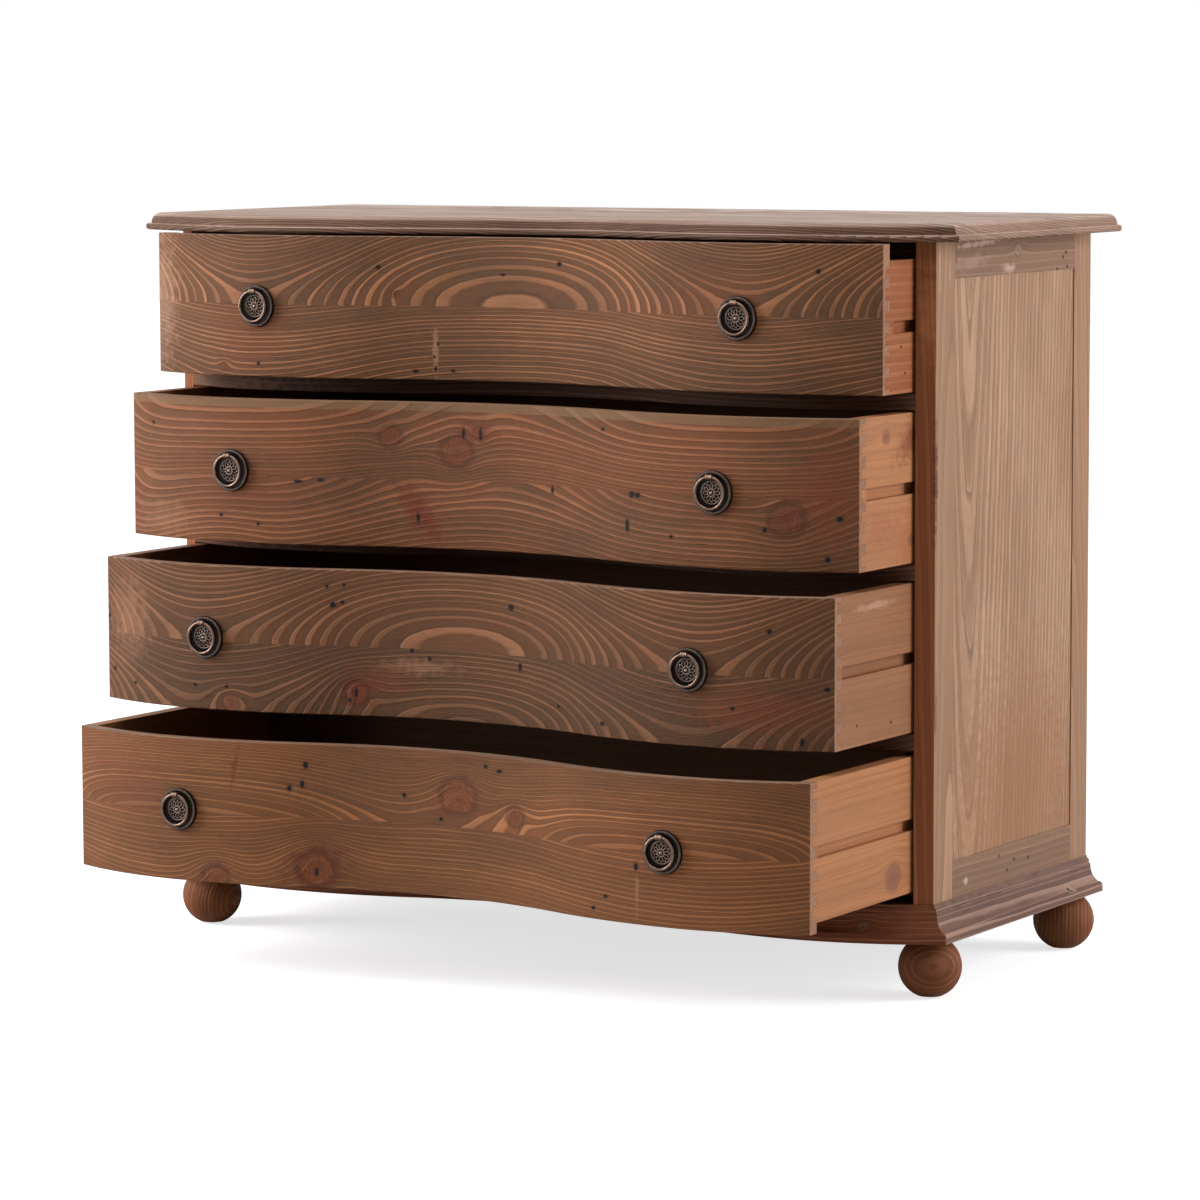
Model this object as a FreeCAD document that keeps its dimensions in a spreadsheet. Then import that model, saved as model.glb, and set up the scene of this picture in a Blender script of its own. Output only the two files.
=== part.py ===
# Chest of four drawers with a serpentine front, in millimetres.
# X runs to the right, Y to the back and Z up. The origin is on the floor, under the middle of the carcass.
import FreeCAD, Part
import math
import os
import Sketcher
from FreeCAD import Placement, Rotation, Vector

# The driving dimensions, one by one, as they stand in the sheet
SIZES = {
    # Carcass and its front curve: two bulges with a hollow between them
    "case_width": 1050,
    "case_depth": 418,
    "bulge_inset": 182,
    "hollow_depth": 55,
    "corner_fall": 47.5,
    # Turned feet and their glides
    "foot_height": 68,
    "foot_radius": 37.3,
    "foot_end_radius": 15,
    "foot_inset": 16.3,
    "front_foot_setback": 24,
    "rear_foot_setback": 28.7,
    "spigot_radius": 12,
    "spigot_length": 15,
    "glide_height": 2,
    "glide_radius": 4,
    "glide_pin_radius": 1.5,
    "glide_pin_length": 12,
    # Moulded top board
    "top_thick": 21,
    "top_overhang": 40,
    "top_back_overhang": 2,
    "lip_height": 8,
    "lip_step": 6,
    "lip_round": 3.4,
    "ovolo_round": 12,
    # Base board and the moulding around it
    "base_board_thick": 18,
    "plinth_height": 43,
    "plinth_reach": 23,
    "nose_height": 7,
    "nose_round": 5,
    "cove_quirk": 1,
    "cove_height": 19,
    "cove_top_reach": 6.5,
    "cove_top_height": 2.5,
    "bead_height": 3.5,
    "bead_reach": 4.5,
    "bead_shoulder": 2.1,
    "cap_reach": 1.5,
    # Framed and panelled sides
    "post_thick": 21,
    "front_post_width": 48,
    "rear_post_width": 46,
    "side_rail_width": 44,
    "panel_thick": 9,
    "panel_recess": 1.5,
    "panel_groove_depth": 8,
    "panel_play": 0.7,
    "edge_round": 1.5,
    # Back
    "back_panel_thick": 8,
    "back_rebate": 8,
    "back_rail_thick": 20,
    "back_rail_width": 44,
    "back_tenon_width": 22,
    "back_vee_width": 3,
    "back_vee_depth": 1.5,
    # Rails and dividers between the drawers
    "divider_thick": 20,
    "opening_height_1": 174,
    "opening_height_2": 176.5,
    "opening_height_3": 176.5,
    "opening_height_4": 179,
    "top_rail_thick": 19,
    "top_rail_setback": 25,
    "top_rail_width": 40,
    "stop_strip_height": 12,
    "tenon_length": 8,
    "tenon_width": 11,
    "tenon_thick": 12,
    "tenon_setback": 26,
    # Runners that carry the drawers in the grooves of their sides
    "runner_height": 13,
    "runner_reach": 11,
    "runner_setback": 18,
    "runner_back_gap": 2,
    "screw_radius": 2,
    "screw_head_radius": 4,
    "screw_head_height": 3,
    "screw_bite": 12,
    "runner_screw_inset": 14,
    # Drawer boxes
    "drawer_gap": 1.5,
    "lowest_head_gap": 6.5,
    "drawer_side_gap": 3.5,
    "drawer_back_gap": 3,
    "drawer_front_thick": 16,
    "drawer_side_thick": 18,
    "drawer_back_thick": 14,
    "drawer_back_inset": 10,
    "drawer_back_housing": 5,
    "drawer_bottom_thick": 6,
    "drawer_bottom_raise": 10,
    "drawer_slot_depth": 6,
    "tail_length": 10,
    "tail_root_width": 11,
    "tail_end_width": 14,
    "groove_height": 14,
    "groove_depth": 8.5,
    "groove_start_1": 7,
    "groove_start": 1.5,
    # How far each drawer stands open in the photographed pose
    "drawer_open_1": 73,
    "drawer_open_2": 130,
    "drawer_open_3": 188,
    "drawer_open_4": 246,
    # Ring pulls
    "handle_inset": 11,
    "plate_radius": 25.5,
    "plate_rim_width": 4,
    "plate_rim_height": 3.8,
    "plate_rim_chamfer": 1,
    "plate_floor": 1.8,
    "dome_radius": 13.5,
    "dome_height": 6.5,
    "dome_foot": 3,
    "ring_radius": 18.3,
    "ring_wire": 1.7,
    "ring_stand": 9,
    "lug_radius": 3.4,
    "lug_bore": 2.1,
    "lug_width": 5,
    "handle_screw_hole": 2.3,
    "handle_screw_depth": 5,
    # Clearances and the overrun of every cut
    "glue_gap": 0.1,
    "running_gap": 0.3,
    "cut_overrun": 5,
}

# Counts, which no length follows
DRAWERS = 4
TAIL_COUNTS = (6, 7, 7, 6)
BACK_BOARDS = 8

# How closely an edge has to match a worked-out place, as a share of it
MATCH_SHARE = 0.00001


class Length:
    """A length that carries its value and the sheet formula that gives it."""

    def __init__(self, value, formula):
        self.value = value
        self.formula = formula

    def __add__(self, other):
        other = as_length(other)
        return Length(self.value + other.value, f"({self.formula} + {other.formula})")

    def __sub__(self, other):
        other = as_length(other)
        return Length(self.value - other.value, f"({self.formula} - {other.formula})")

    def __mul__(self, other):
        other = as_length(other)
        return Length(self.value * other.value, f"({self.formula} * {other.formula})")

    def __truediv__(self, other):
        other = as_length(other)
        return Length(self.value / other.value, f"({self.formula} / {other.formula})")

    def __rmul__(self, other):
        return as_length(other) * self

    def __neg__(self):
        return Length(-self.value, f"(-1 * {self.formula})")


def as_length(number):
    """A plain number, such as a sign or a count, written as a length."""
    if isinstance(number, Length):
        return number
    return Length(float(number), str(number))


def root(square):
    """The square root of a worked-out area."""
    return Length(math.sqrt(square.value), f"sqrt({square.formula})")


doc = FreeCAD.newDocument("serpentine_chest")


class Sheet:
    """The sheet of driving dimensions: each one is read as sizes.NAME."""

    def __init__(self, table):
        sheet = doc.addObject("Spreadsheet::Sheet", "Sizes")
        for row, (alias, value) in enumerate(table.items(), 1):
            sheet.set(f"A{row}", alias)
            sheet.set(f"B{row}", str(value))
            sheet.setAlias(f"B{row}", alias)
            setattr(self, alias, Length(float(value), f"Sizes.{alias}"))
        doc.recompute()


sizes = Sheet(SIZES)

# Planes and heights that several pieces share
half_width = sizes.case_width / 2
inner_face = half_width - sizes.post_thick
front_plane = -sizes.case_depth / 2
back_plane = sizes.case_depth / 2
base_low = sizes.glide_height + sizes.foot_height
case_low = base_low + sizes.base_board_thick
plinth_high = base_low + sizes.plinth_height
upper_openings = sizes.opening_height_1 + sizes.opening_height_2 + sizes.opening_height_3
case_high = plinth_high + sizes.opening_height_4 + sizes.divider_thick * (DRAWERS - 1) + upper_openings
post_back = front_plane + sizes.front_post_width
rear_post_front = back_plane - sizes.rear_post_width
panel_outer = half_width - sizes.panel_recess
panel_inner = panel_outer - sizes.panel_thick
panel_face = back_plane - sizes.back_panel_thick

# The front curve: the peaks of the bulges, the hollow and the radii of its arcs
peak_plane = front_plane - sizes.corner_fall
hollow_plane = peak_plane + sizes.hollow_depth
bulge_reach = half_width - sizes.bulge_inset
handle_reach = bulge_reach - sizes.handle_inset
bulge_square = bulge_reach * bulge_reach + sizes.hollow_depth * sizes.hollow_depth
inner_radius = bulge_square / (sizes.hollow_depth * 4)
corner_square = sizes.bulge_inset * sizes.bulge_inset + sizes.corner_fall * sizes.corner_fall
outer_radius = corner_square / (sizes.corner_fall * 2)


def curve_at(reach, offset):
    """Y of the outer arc, moved outwards by an offset, at a distance from the middle."""
    radius = outer_radius + offset
    run = reach - bulge_reach
    return peak_plane + outer_radius - root(radius * radius - run * run)


# Sketching

def origin_feature(body, role):
    """A plane or axis of a body's own origin."""
    return [feature for feature in body.Origin.OriginFeatures if feature.Role == role][0]


def new_body(label):
    """An empty body that carries a node's name."""
    body = doc.addObject("PartDesign::Body", label)
    body.Label = label
    return body


def new_sketch(body, name, role, height):
    """A sketch on one of the body's origin planes, lifted along that plane's normal."""
    sketch = body.newObject("Sketcher::SketchObject", name)
    sketch.AttachmentSupport = [(origin_feature(body, role), "")]
    sketch.MapMode = "FlatFace"
    sketch.setExpression("AttachmentOffset.Base.z", as_length(height).formula)
    return sketch


def bind(sketch, kind, where, length):
    """One driving constraint whose value follows the sheet."""
    index = sketch.addConstraint(Sketcher.Constraint(kind, *where, length.value))
    sketch.setExpression(f"Constraints[{index}]", length.formula)


def bind_point(sketch, geometry, point, x, y):
    """Hold one point of a sketch at a place worked out from the sheet."""
    bind(sketch, "DistanceX", (-1, 1, geometry, point), as_length(x))
    bind(sketch, "DistanceY", (-1, 1, geometry, point), as_length(y))


def flat(x, y):
    """A point in the plane of a sketch."""
    return Vector(as_length(x).value, as_length(y).value, 0)


class Corner:
    """A corner of an outline."""

    def __init__(self, x, y):
        self.x = as_length(x)
        self.y = as_length(y)
        self.enter = flat(x, y)
        self.leave = self.enter
        self.ends = None

    def draw(self, sketch):
        pass


class Arc:
    """A round stretch of an outline from one point to another about a centre."""

    def __init__(self, start, centre, end, rising):
        self.points = (start, centre, end)
        self.rising = rising
        self.enter = flat(*start)
        self.leave = flat(*end)

    def draw(self, sketch):
        start, centre, end = (flat(*point) for point in self.points)
        first, last = (start, end) if self.rising else (end, start)
        turn = [math.atan2(point.y - centre.y, point.x - centre.x) for point in (first, last)]
        if turn[1] < turn[0]:
            turn[1] += 2 * math.pi
        circle = Part.Circle(centre, Vector(0, 0, 1), (start - centre).Length)
        arc = sketch.addGeometry(Part.ArcOfCircle(circle, *turn), False)
        begin, finish = (1, 2) if self.rising else (2, 1)
        bind_point(sketch, arc, 3, *self.points[1])
        bind_point(sketch, arc, begin, *self.points[0])
        steep = abs(end.y - centre.y) > abs(end.x - centre.x)
        end_x, end_y = (as_length(value) for value in self.points[2])
        if steep:
            bind(sketch, "DistanceX", (-1, 1, arc, finish), end_x)
        else:
            bind(sketch, "DistanceY", (-1, 1, arc, finish), end_y)
        self.ends = ((arc, begin), (arc, finish))


class Curve:
    """The front curve, moved outwards by an offset and backwards by a shift, from side to side."""

    def __init__(self, reach, offset=0, shift=0, leftwards=False, half=False):
        self.reach = reach
        self.offset = as_length(offset)
        self.shift = as_length(shift)
        self.leftwards = leftwards
        self.half = half
        y = curve_at(reach, self.offset) + self.shift
        right_end = flat(reach, y)
        left_end = flat(-reach, y)
        self.enter, self.leave = (right_end, left_end) if leftwards else (left_end, right_end)

    def arc(self, sketch, centre, radius, first, last):
        """One arc of the chain, turning anticlockwise between two places on it."""
        turn = [math.atan2(point.y - centre.y, point.x - centre.x) for point in (first, last)]
        circle = Part.Circle(centre, Vector(0, 0, 1), radius.value)
        return sketch.addGeometry(Part.ArcOfCircle(circle, *turn), False)

    def draw(self, sketch):
        convex = inner_radius + self.offset
        hollow = inner_radius - self.offset
        corner = outer_radius + self.offset
        middle_y = hollow_plane - inner_radius + self.shift
        middle = flat(0, middle_y)
        top = flat(0, middle_y + hollow)
        chains = []
        for side in (1, -1):
            flank = flat(side * bulge_reach, peak_plane + inner_radius + self.shift)
            outer = flat(side * bulge_reach, peak_plane + outer_radius + self.shift)
            joint = flank + (middle - flank) * (convex.value / (2 * inner_radius.value))
            peak = flat(side * bulge_reach, peak_plane - self.offset + self.shift)
            end = flat(side * self.reach, curve_at(self.reach, self.offset) + self.shift)
            inwards = (joint, peak) if side > 0 else (peak, joint)
            outwards = (peak, end) if side > 0 else (end, peak)
            chains.append((joint, (flank, inwards), (outer, outwards)))
        left_joint = top if self.half else chains[1][0]
        centre_arc = self.arc(sketch, middle, hollow, chains[0][0], left_joint)
        sketch.addConstraint(Sketcher.Constraint("PointOnObject", centre_arc, 3, -2))
        bind(sketch, "DistanceY", (-1, 1, centre_arc, 3), middle_y)
        bind(sketch, "Radius", (centre_arc,), hollow)
        if self.half:
            sketch.addConstraint(Sketcher.Constraint("PointOnObject", centre_arc, 2, -2))
            chains.pop()
        outer_ends = []
        for side, (joint, flank, outer) in zip((1, -1), chains):
            begin, finish = (1, 2) if side > 0 else (2, 1)
            flank_arc = self.arc(sketch, flank[0], convex, *flank[1])
            outer_arc = self.arc(sketch, outer[0], corner, *outer[1])
            sketch.addConstraint(Sketcher.Constraint("Tangent", centre_arc, begin, flank_arc, begin))
            sketch.addConstraint(Sketcher.Constraint("Tangent", flank_arc, finish, outer_arc, begin))
            for arc, radius in ((flank_arc, convex), (outer_arc, corner)):
                bind(sketch, "DistanceX", (-1, 1, arc, 3), side * bulge_reach)
                bind(sketch, "Radius", (arc,), radius)
            bind(sketch, "DistanceX", (-1, 1, outer_arc, finish), side * self.reach)
            outer_ends.append((outer_arc, finish))
        if not self.half:
            right, left = outer_ends
            self.ends = (right, left) if self.leftwards else (left, right)


def draw_outline(sketch, stations):
    """Draw corners, arcs and curves, joined in turn by straight lines into a closed outline."""
    for station in stations:
        station.draw(sketch)
    lines = []
    for here, after in zip(stations, stations[1:] + stations[:1]):
        lines.append(sketch.addGeometry(Part.LineSegment(here.leave, after.enter), False))
    for index, station in enumerate(stations):
        before = lines[index - 1]
        line = lines[index]
        if station.ends:
            enter, leave = station.ends
            sketch.addConstraint(Sketcher.Constraint("Coincident", before, 2, *enter))
            sketch.addConstraint(Sketcher.Constraint("Coincident", line, 1, *leave))
        else:
            sketch.addConstraint(Sketcher.Constraint("Coincident", before, 2, line, 1))
            bind_point(sketch, line, 1, station.x, station.y)


def rectangle(x_span, y_span):
    """The four corners of a rectangle between two spans."""
    return [
        Corner(x_span[0], y_span[0]),
        Corner(x_span[1], y_span[0]),
        Corner(x_span[1], y_span[1]),
        Corner(x_span[0], y_span[1]),
    ]


def draw_circle(sketch, x, y, radius):
    """A circle at a place worked out from the sheet."""
    circle = sketch.addGeometry(Part.Circle(flat(x, y), Vector(0, 0, 1), radius.value), False)
    bind_point(sketch, circle, 3, x, y)
    bind(sketch, "Radius", (circle,), radius)


# Features

def add_feature(body, kind, name, sketch, length, backwards=False, both_ways=False):
    """A pad or a pocket whose depth follows the sheet."""
    feature = body.newObject("PartDesign::" + kind, name)
    feature.Profile = sketch
    feature.setExpression("Length", as_length(length).formula)
    feature.Reversed = backwards
    if both_ways:
        feature.Midplane = True
    body.Tip = feature
    return feature


def pad(body, name, plane, height, stations, length, **ways):
    """A pad of one outline drawn on a plane of the body."""
    sketch = new_sketch(body, name + "_outline", plane, height)
    draw_outline(sketch, stations)
    return add_feature(body, "Pad", name, sketch, length, **ways)


def pocket(body, name, plane, height, outlines, length, **ways):
    """A pocket of one or more outlines drawn on a plane of the body."""
    sketch = new_sketch(body, name + "_outline", plane, height)
    for stations in outlines:
        draw_outline(sketch, stations)
    return add_feature(body, "Pocket", name, sketch, length, **ways)


def revolve(body, name, plane, stations):
    """A turned solid about the upright axis of its sketch."""
    sketch = new_sketch(body, name + "_profile", plane, 0)
    draw_outline(sketch, stations)
    feature = body.newObject("PartDesign::Revolution", name)
    feature.Profile = sketch
    feature.ReferenceAxis = (sketch, ["V_Axis"])
    feature.Angle = 360
    body.Tip = feature
    return feature


def repeat_up(body, name, feature, pitch, count):
    """Copies of a feature, evenly spaced up the piece."""
    pattern = body.newObject("PartDesign::LinearPattern", name)
    pattern.Originals = [feature]
    pattern.Direction = (feature.Profile[0], ["V_Axis"])
    pattern.setExpression("Length", (pitch * (count - 1)).formula)
    pattern.Occurrences = count
    body.Tip = pattern
    return pattern


def round_edges(body, name, feature, radius, test):
    """Fillet each edge of a feature whose middle passes the test."""
    doc.recompute()
    names = []
    for index, edge in enumerate(feature.Shape.Edges, 1):
        middle = edge.valueAt((edge.FirstParameter + edge.LastParameter) / 2)
        if test(edge, middle):
            names.append(f"Edge{index}")
    fillet = body.newObject("PartDesign::Fillet", name)
    fillet.Base = (feature, names)
    fillet.setExpression("Radius", radius.formula)
    body.Tip = fillet
    return fillet


def near(value, length):
    """Whether a measured place lies on a worked-out one."""
    return math.isclose(value, as_length(length).value, rel_tol=MATCH_SHARE)


def level(edge, height):
    """Whether an edge lies level at a height."""
    return all(near(vertex.Z, height) for vertex in edge.Vertexes)


def span(side, inner, outer):
    """The low and high ends of a stretch on the right, or of its mirror image on the left."""
    return (inner, outer) if side > 0 else (-outer, -inner)


def block(name, x_span, y_span, z_span):
    """A rectangular piece of wood or of a cut."""
    box = doc.addObject("Part::Box", name)
    for measure, axis, (low, high) in zip(("Length", "Width", "Height"), "xyz", (x_span, y_span, z_span)):
        low = as_length(low)
        high = as_length(high)
        box.setExpression(measure, (high - low).formula)
        box.setExpression("Placement.Base." + axis, low.formula)
    return box


def rod(name, radius, length, x, y, z, rotation):
    """A round rod from a point, along the turned upright axis."""
    cylinder = doc.addObject("Part::Cylinder", name)
    cylinder.Placement = Placement(Vector(0, 0, 0), rotation)
    cylinder.setExpression("Radius", radius.formula)
    cylinder.setExpression("Height", length.formula)
    for axis, place in zip("xyz", (x, y, z)):
        cylinder.setExpression("Placement.Base." + axis, as_length(place).formula)
    return cylinder


def fuse(name, pieces):
    """Several solids glued or turned from one piece."""
    joined = doc.addObject("Part::MultiFuse", name)
    joined.Shapes = pieces
    return joined


def cut(name, base, tools):
    """A piece with one or more cuts taken out of it."""
    result = doc.addObject("Part::Cut", name)
    result.Base = base
    result.Tool = tools[0] if len(tools) == 1 else fuse(name + "_cuts", tools)
    return result


def group(name, pieces):
    """Separate solids kept as one node."""
    compound = doc.addObject("Part::Compound", name)
    compound.Links = pieces
    return compound


def copy_at(name, original, x, y, z):
    """A copy of a piece that is modelled about its own origin."""
    link = doc.addObject("App::Link", name)
    link.LinkedObject = original
    for axis, place in zip("xyz", (x, y, z)):
        link.setExpression("Placement.Base." + axis, as_length(place).formula)
    return link


NODES = []


def keep(piece):
    """Name a finished piece's node after it, and put it on the list to be written."""
    piece.Label = piece.Name
    NODES.append(piece)
    return piece


SIDES = {"left": -1, "right": 1}
ALONG_X = Rotation(Vector(0, 1, 0), 90)
ALONG_Y = Rotation(Vector(1, 0, 0), -90)
UPRIGHT = Rotation()


# Heights of the drawer openings, from the top down

def opening_spans():
    """The low and high end of each drawer's opening, and the height of each divider's underside."""
    heights = (sizes.opening_height_1, sizes.opening_height_2, sizes.opening_height_3)
    high = case_high
    openings = []
    dividers = []
    for height in heights:
        low = high - height
        openings.append((low, high))
        high = low - sizes.divider_thick
        dividers.append(high)
    openings.append((plinth_high, high))
    return openings, dividers


OPENINGS, DIVIDERS = opening_spans()
top_rail_low = case_high - sizes.top_rail_thick
strip_high = plinth_high + sizes.stop_strip_height
bottom_rail_middle = (case_low + plinth_high) / 2
tenon_low = front_plane + sizes.tenon_setback
tenon_high = tenon_low + sizes.tenon_width
TENON_HEIGHTS = [case_high - sizes.top_rail_thick / 2, bottom_rail_middle]
TENON_HEIGHTS += [low + sizes.divider_thick / 2 for low in DIVIDERS]
back_rail_front = panel_face - sizes.back_rail_thick
back_tenon = (
    back_rail_front + (sizes.back_rail_thick - sizes.tenon_thick) / 2,
    back_rail_front + (sizes.back_rail_thick + sizes.tenon_thick) / 2,
)
BACK_RAIL_LOWS = {"lower": case_low, "upper": case_high - sizes.back_rail_width}


def drawer_front_span(number):
    """The low and high edge of a drawer's front: the lowest one has more room above it."""
    low, high = OPENINGS[number - 1]
    head_gap = sizes.lowest_head_gap if number == DRAWERS else sizes.drawer_gap
    return low + sizes.drawer_gap, high - head_gap


def drawer_box_span(number):
    """The low and high edge of a drawer's sides."""
    low, high = drawer_front_span(number)
    if number == 1:
        high = top_rail_low - sizes.drawer_gap
    if number == DRAWERS:
        low = strip_high + sizes.drawer_gap
    return low, high


def runner_low(number):
    """The underside of a drawer's runners, so that the groove rests just above them."""
    low, high = drawer_box_span(number)
    groove_high = (low + high) / 2 + sizes.groove_height / 2
    return groove_high - sizes.running_gap - sizes.runner_height


# Turned feet

def foot_places():
    """The middle of each foot and its name."""
    front = front_plane + sizes.front_foot_setback
    rear = back_plane - sizes.rear_foot_setback
    reach = half_width - sizes.foot_inset
    for side_name, side in SIDES.items():
        yield f"{side_name}_front", side * reach, front
        yield f"{side_name}_rear", side * reach, rear


def make_feet():
    """Bun feet with a spigot each, and the small glides nailed under them."""
    low = sizes.glide_height
    reach = sizes.foot_radius
    end = sizes.foot_end_radius
    half = sizes.foot_height / 2
    middle = (reach * reach - end * end - half * half) / ((reach - end) * 2)
    bun = new_body("bun_foot")
    bun_profile = [
        Corner(0, low),
        Arc((end, low), (middle, low + half), (end, base_low), True),
        Corner(sizes.spigot_radius, base_low),
        Corner(sizes.spigot_radius, base_low + sizes.spigot_length),
        Corner(0, base_low + sizes.spigot_length),
    ]
    revolve(bun, "foot_turning", "XZ_Plane", bun_profile)
    head = rod("glide_head", sizes.glide_radius, sizes.glide_height, 0, 0, 0, UPRIGHT)
    pin_length = sizes.glide_height + sizes.glide_pin_length
    pin = rod("glide_pin", sizes.glide_pin_radius, pin_length, 0, 0, 0, UPRIGHT)
    glide = fuse("glide", [head, pin])
    feet = []
    glides = []
    for name, x, y in foot_places():
        feet.append(copy_at(f"foot_{name}", bun, x, y, 0))
        glides.append(copy_at(f"glide_{name}", glide, x, y, 0))
    keep(group("bun_feet", feet))
    keep(group("foot_glides", glides))


def make_base_board():
    """The board that the feet are pegged into, with the front curve along its edge."""
    body = new_body("base_board")
    outline = [Curve(half_width), Corner(half_width, back_plane), Corner(-half_width, back_plane)]
    board = pad(body, "board", "XY_Plane", base_low, outline, sizes.base_board_thick)
    sketch = new_sketch(body, "peg_holes_outline", "XY_Plane", base_low)
    for name, x, y in foot_places():
        draw_circle(sketch, x, y, sizes.spigot_radius + sizes.glue_gap)
    add_feature(body, "Pocket", "peg_holes", sketch, sizes.base_board_thick, backwards=True)
    keep(body)


# Moulding around the base

def plinth_profile(place, rising):
    """The moulding's section, from its glued back outwards, where place sets an offset."""
    shelf = base_low + sizes.nose_height + sizes.nose_round
    cove_top = shelf + sizes.cove_height
    cap_low = cove_top + sizes.cove_top_height + sizes.bead_height
    nose = sizes.plinth_reach - sizes.nose_round
    cove_foot = nose - sizes.cove_quirk
    cove_run = cove_foot - sizes.cove_top_reach
    cove_radius = (cove_run * cove_run + sizes.cove_height * sizes.cove_height) / (cove_run * 2)
    bead_low = cove_top + sizes.cove_top_height
    return [
        Corner(place(sizes.glue_gap), base_low),
        Corner(place(sizes.plinth_reach), base_low),
        Arc(
            (place(sizes.plinth_reach), shelf - sizes.nose_round),
            (place(nose), shelf - sizes.nose_round),
            (place(nose), shelf),
            rising,
        ),
        Arc(
            (place(cove_foot), shelf),
            (place(sizes.cove_top_reach + cove_radius), cove_top),
            (place(sizes.cove_top_reach), cove_top),
            not rising,
        ),
        Corner(place(sizes.cove_top_reach), bead_low),
        Corner(place(sizes.bead_reach), bead_low),
        Corner(place(sizes.bead_reach), cap_low),
        Corner(place(sizes.cap_reach + sizes.bead_shoulder), cap_low + sizes.bead_shoulder),
        Corner(place(sizes.cap_reach), cap_low + sizes.bead_reach - sizes.cap_reach),
        Corner(place(sizes.cap_reach), plinth_high),
        Corner(place(sizes.glue_gap), plinth_high),
    ]


def mitre_line(side):
    """Two places on the mitre at a front corner, one inside the moulding and one outside it."""
    inner_x = half_width + sizes.glue_gap
    outer_x = half_width + sizes.plinth_reach
    inner_y = curve_at(inner_x, sizes.glue_gap)
    outer_y = curve_at(outer_x, sizes.plinth_reach)
    run_x = outer_x - inner_x
    run_y = outer_y - inner_y
    near_point = (side * (inner_x - run_x), inner_y - run_y)
    far_point = (side * (outer_x + run_x), outer_y + run_y)
    return near_point, far_point


def make_plinth():
    """Front moulding along the curve and two straight ones, mitred at the front corners."""
    front = new_body("plinth_front")
    spine = new_sketch(front, "plinth_line", "XY_Plane", base_low)
    Curve(half_width + sizes.plinth_reach, half=True).draw(spine)
    section = new_sketch(front, "plinth_section", "YZ_Plane", 0)
    draw_outline(section, plinth_profile(lambda offset: hollow_plane - offset, False))
    doc.recompute()
    sweep = front.newObject("PartDesign::AdditivePipe", "plinth_sweep")
    sweep.Profile = section
    sweep.Spine = (spine, [f"Edge{index + 1}" for index in range(len(spine.Shape.Edges))])
    front.Tip = sweep
    near_point, far_point = mitre_line(1)
    behind = [
        Corner(*near_point),
        Corner(*far_point),
        Corner(far_point[0] + sizes.plinth_reach, 0),
        Corner(near_point[0], 0),
    ]
    height = sizes.plinth_height
    cuts = pocket(front, "front_mitre", "XY_Plane", base_low, [behind], height, backwards=True)
    mirror = front.newObject("PartDesign::Mirrored", "plinth_left_half")
    mirror.Originals = [sweep, cuts]
    mirror.MirrorPlane = (origin_feature(front, "YZ_Plane"), [""])
    front.Tip = mirror
    keep(front)
    ahead_plane = front_plane - sizes.plinth_reach * 2
    for side_name, side in SIDES.items():
        body = new_body(f"plinth_{side_name}")
        profile = plinth_profile(lambda offset: side * (half_width + offset), side > 0)
        length = sizes.case_depth + sizes.plinth_reach
        pad(body, "moulding", "XZ_Plane", -back_plane, profile, length)
        near_point, far_point = mitre_line(side)
        ahead = [
            Corner(near_point[0], near_point[1] + sizes.glue_gap),
            Corner(far_point[0], far_point[1] + sizes.glue_gap),
            Corner(far_point[0], ahead_plane),
            Corner(near_point[0], ahead_plane),
        ]
        pocket(body, "mitre", "XY_Plane", base_low, [ahead], height, backwards=True)
        keep(body)


# Framed sides

def mortise_spans(heights, thick):
    """The height of each tenon, as a span with its clearance."""
    reach = thick / 2 + sizes.glue_gap
    return [(middle - reach, middle + reach) for middle in heights]


def make_front_post(side_name, side):
    """A front post whose face follows the curve, with its mortises and the panel groove."""
    body = new_body(f"{side_name}_front_post")
    inner_y = curve_at(inner_face, as_length(0))
    outer_y = curve_at(half_width, as_length(0))
    centre = (side * bulge_reach, peak_plane + outer_radius)
    face = Arc((side * inner_face, inner_y), centre, (side * half_width, outer_y), side > 0)
    outline = [face, Corner(side * half_width, post_back), Corner(side * inner_face, post_back)]
    post = pad(body, "post", "XY_Plane", case_low, outline, case_high - case_low)
    round_edges(
        body, "soft_corner", post, sizes.edge_round,
        lambda edge, middle: near(middle.x, side * half_width) and near(middle.y, outer_y),
    )
    groove = rectangle(
        span(side, panel_inner - sizes.glue_gap, panel_outer + sizes.glue_gap),
        (post_back - sizes.panel_groove_depth, post_back + sizes.cut_overrun),
    )
    pocket(body, "panel_groove", "XY_Plane", case_low, [groove], case_high - case_low, backwards=True)
    mortises = [
        rectangle((tenon_low - sizes.glue_gap, tenon_high + sizes.glue_gap), height)
        for height in mortise_spans(TENON_HEIGHTS, sizes.tenon_thick)
    ]
    depth = sizes.tenon_length + sizes.glue_gap
    pocket(body, "mortises", "YZ_Plane", side * inner_face, mortises, depth, backwards=side > 0)
    keep(body)


def back_tenon_height(low):
    """The height of a back rail's tenons."""
    bottom = low + (sizes.back_rail_width - sizes.back_tenon_width) / 2
    return bottom, bottom + sizes.back_tenon_width


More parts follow.
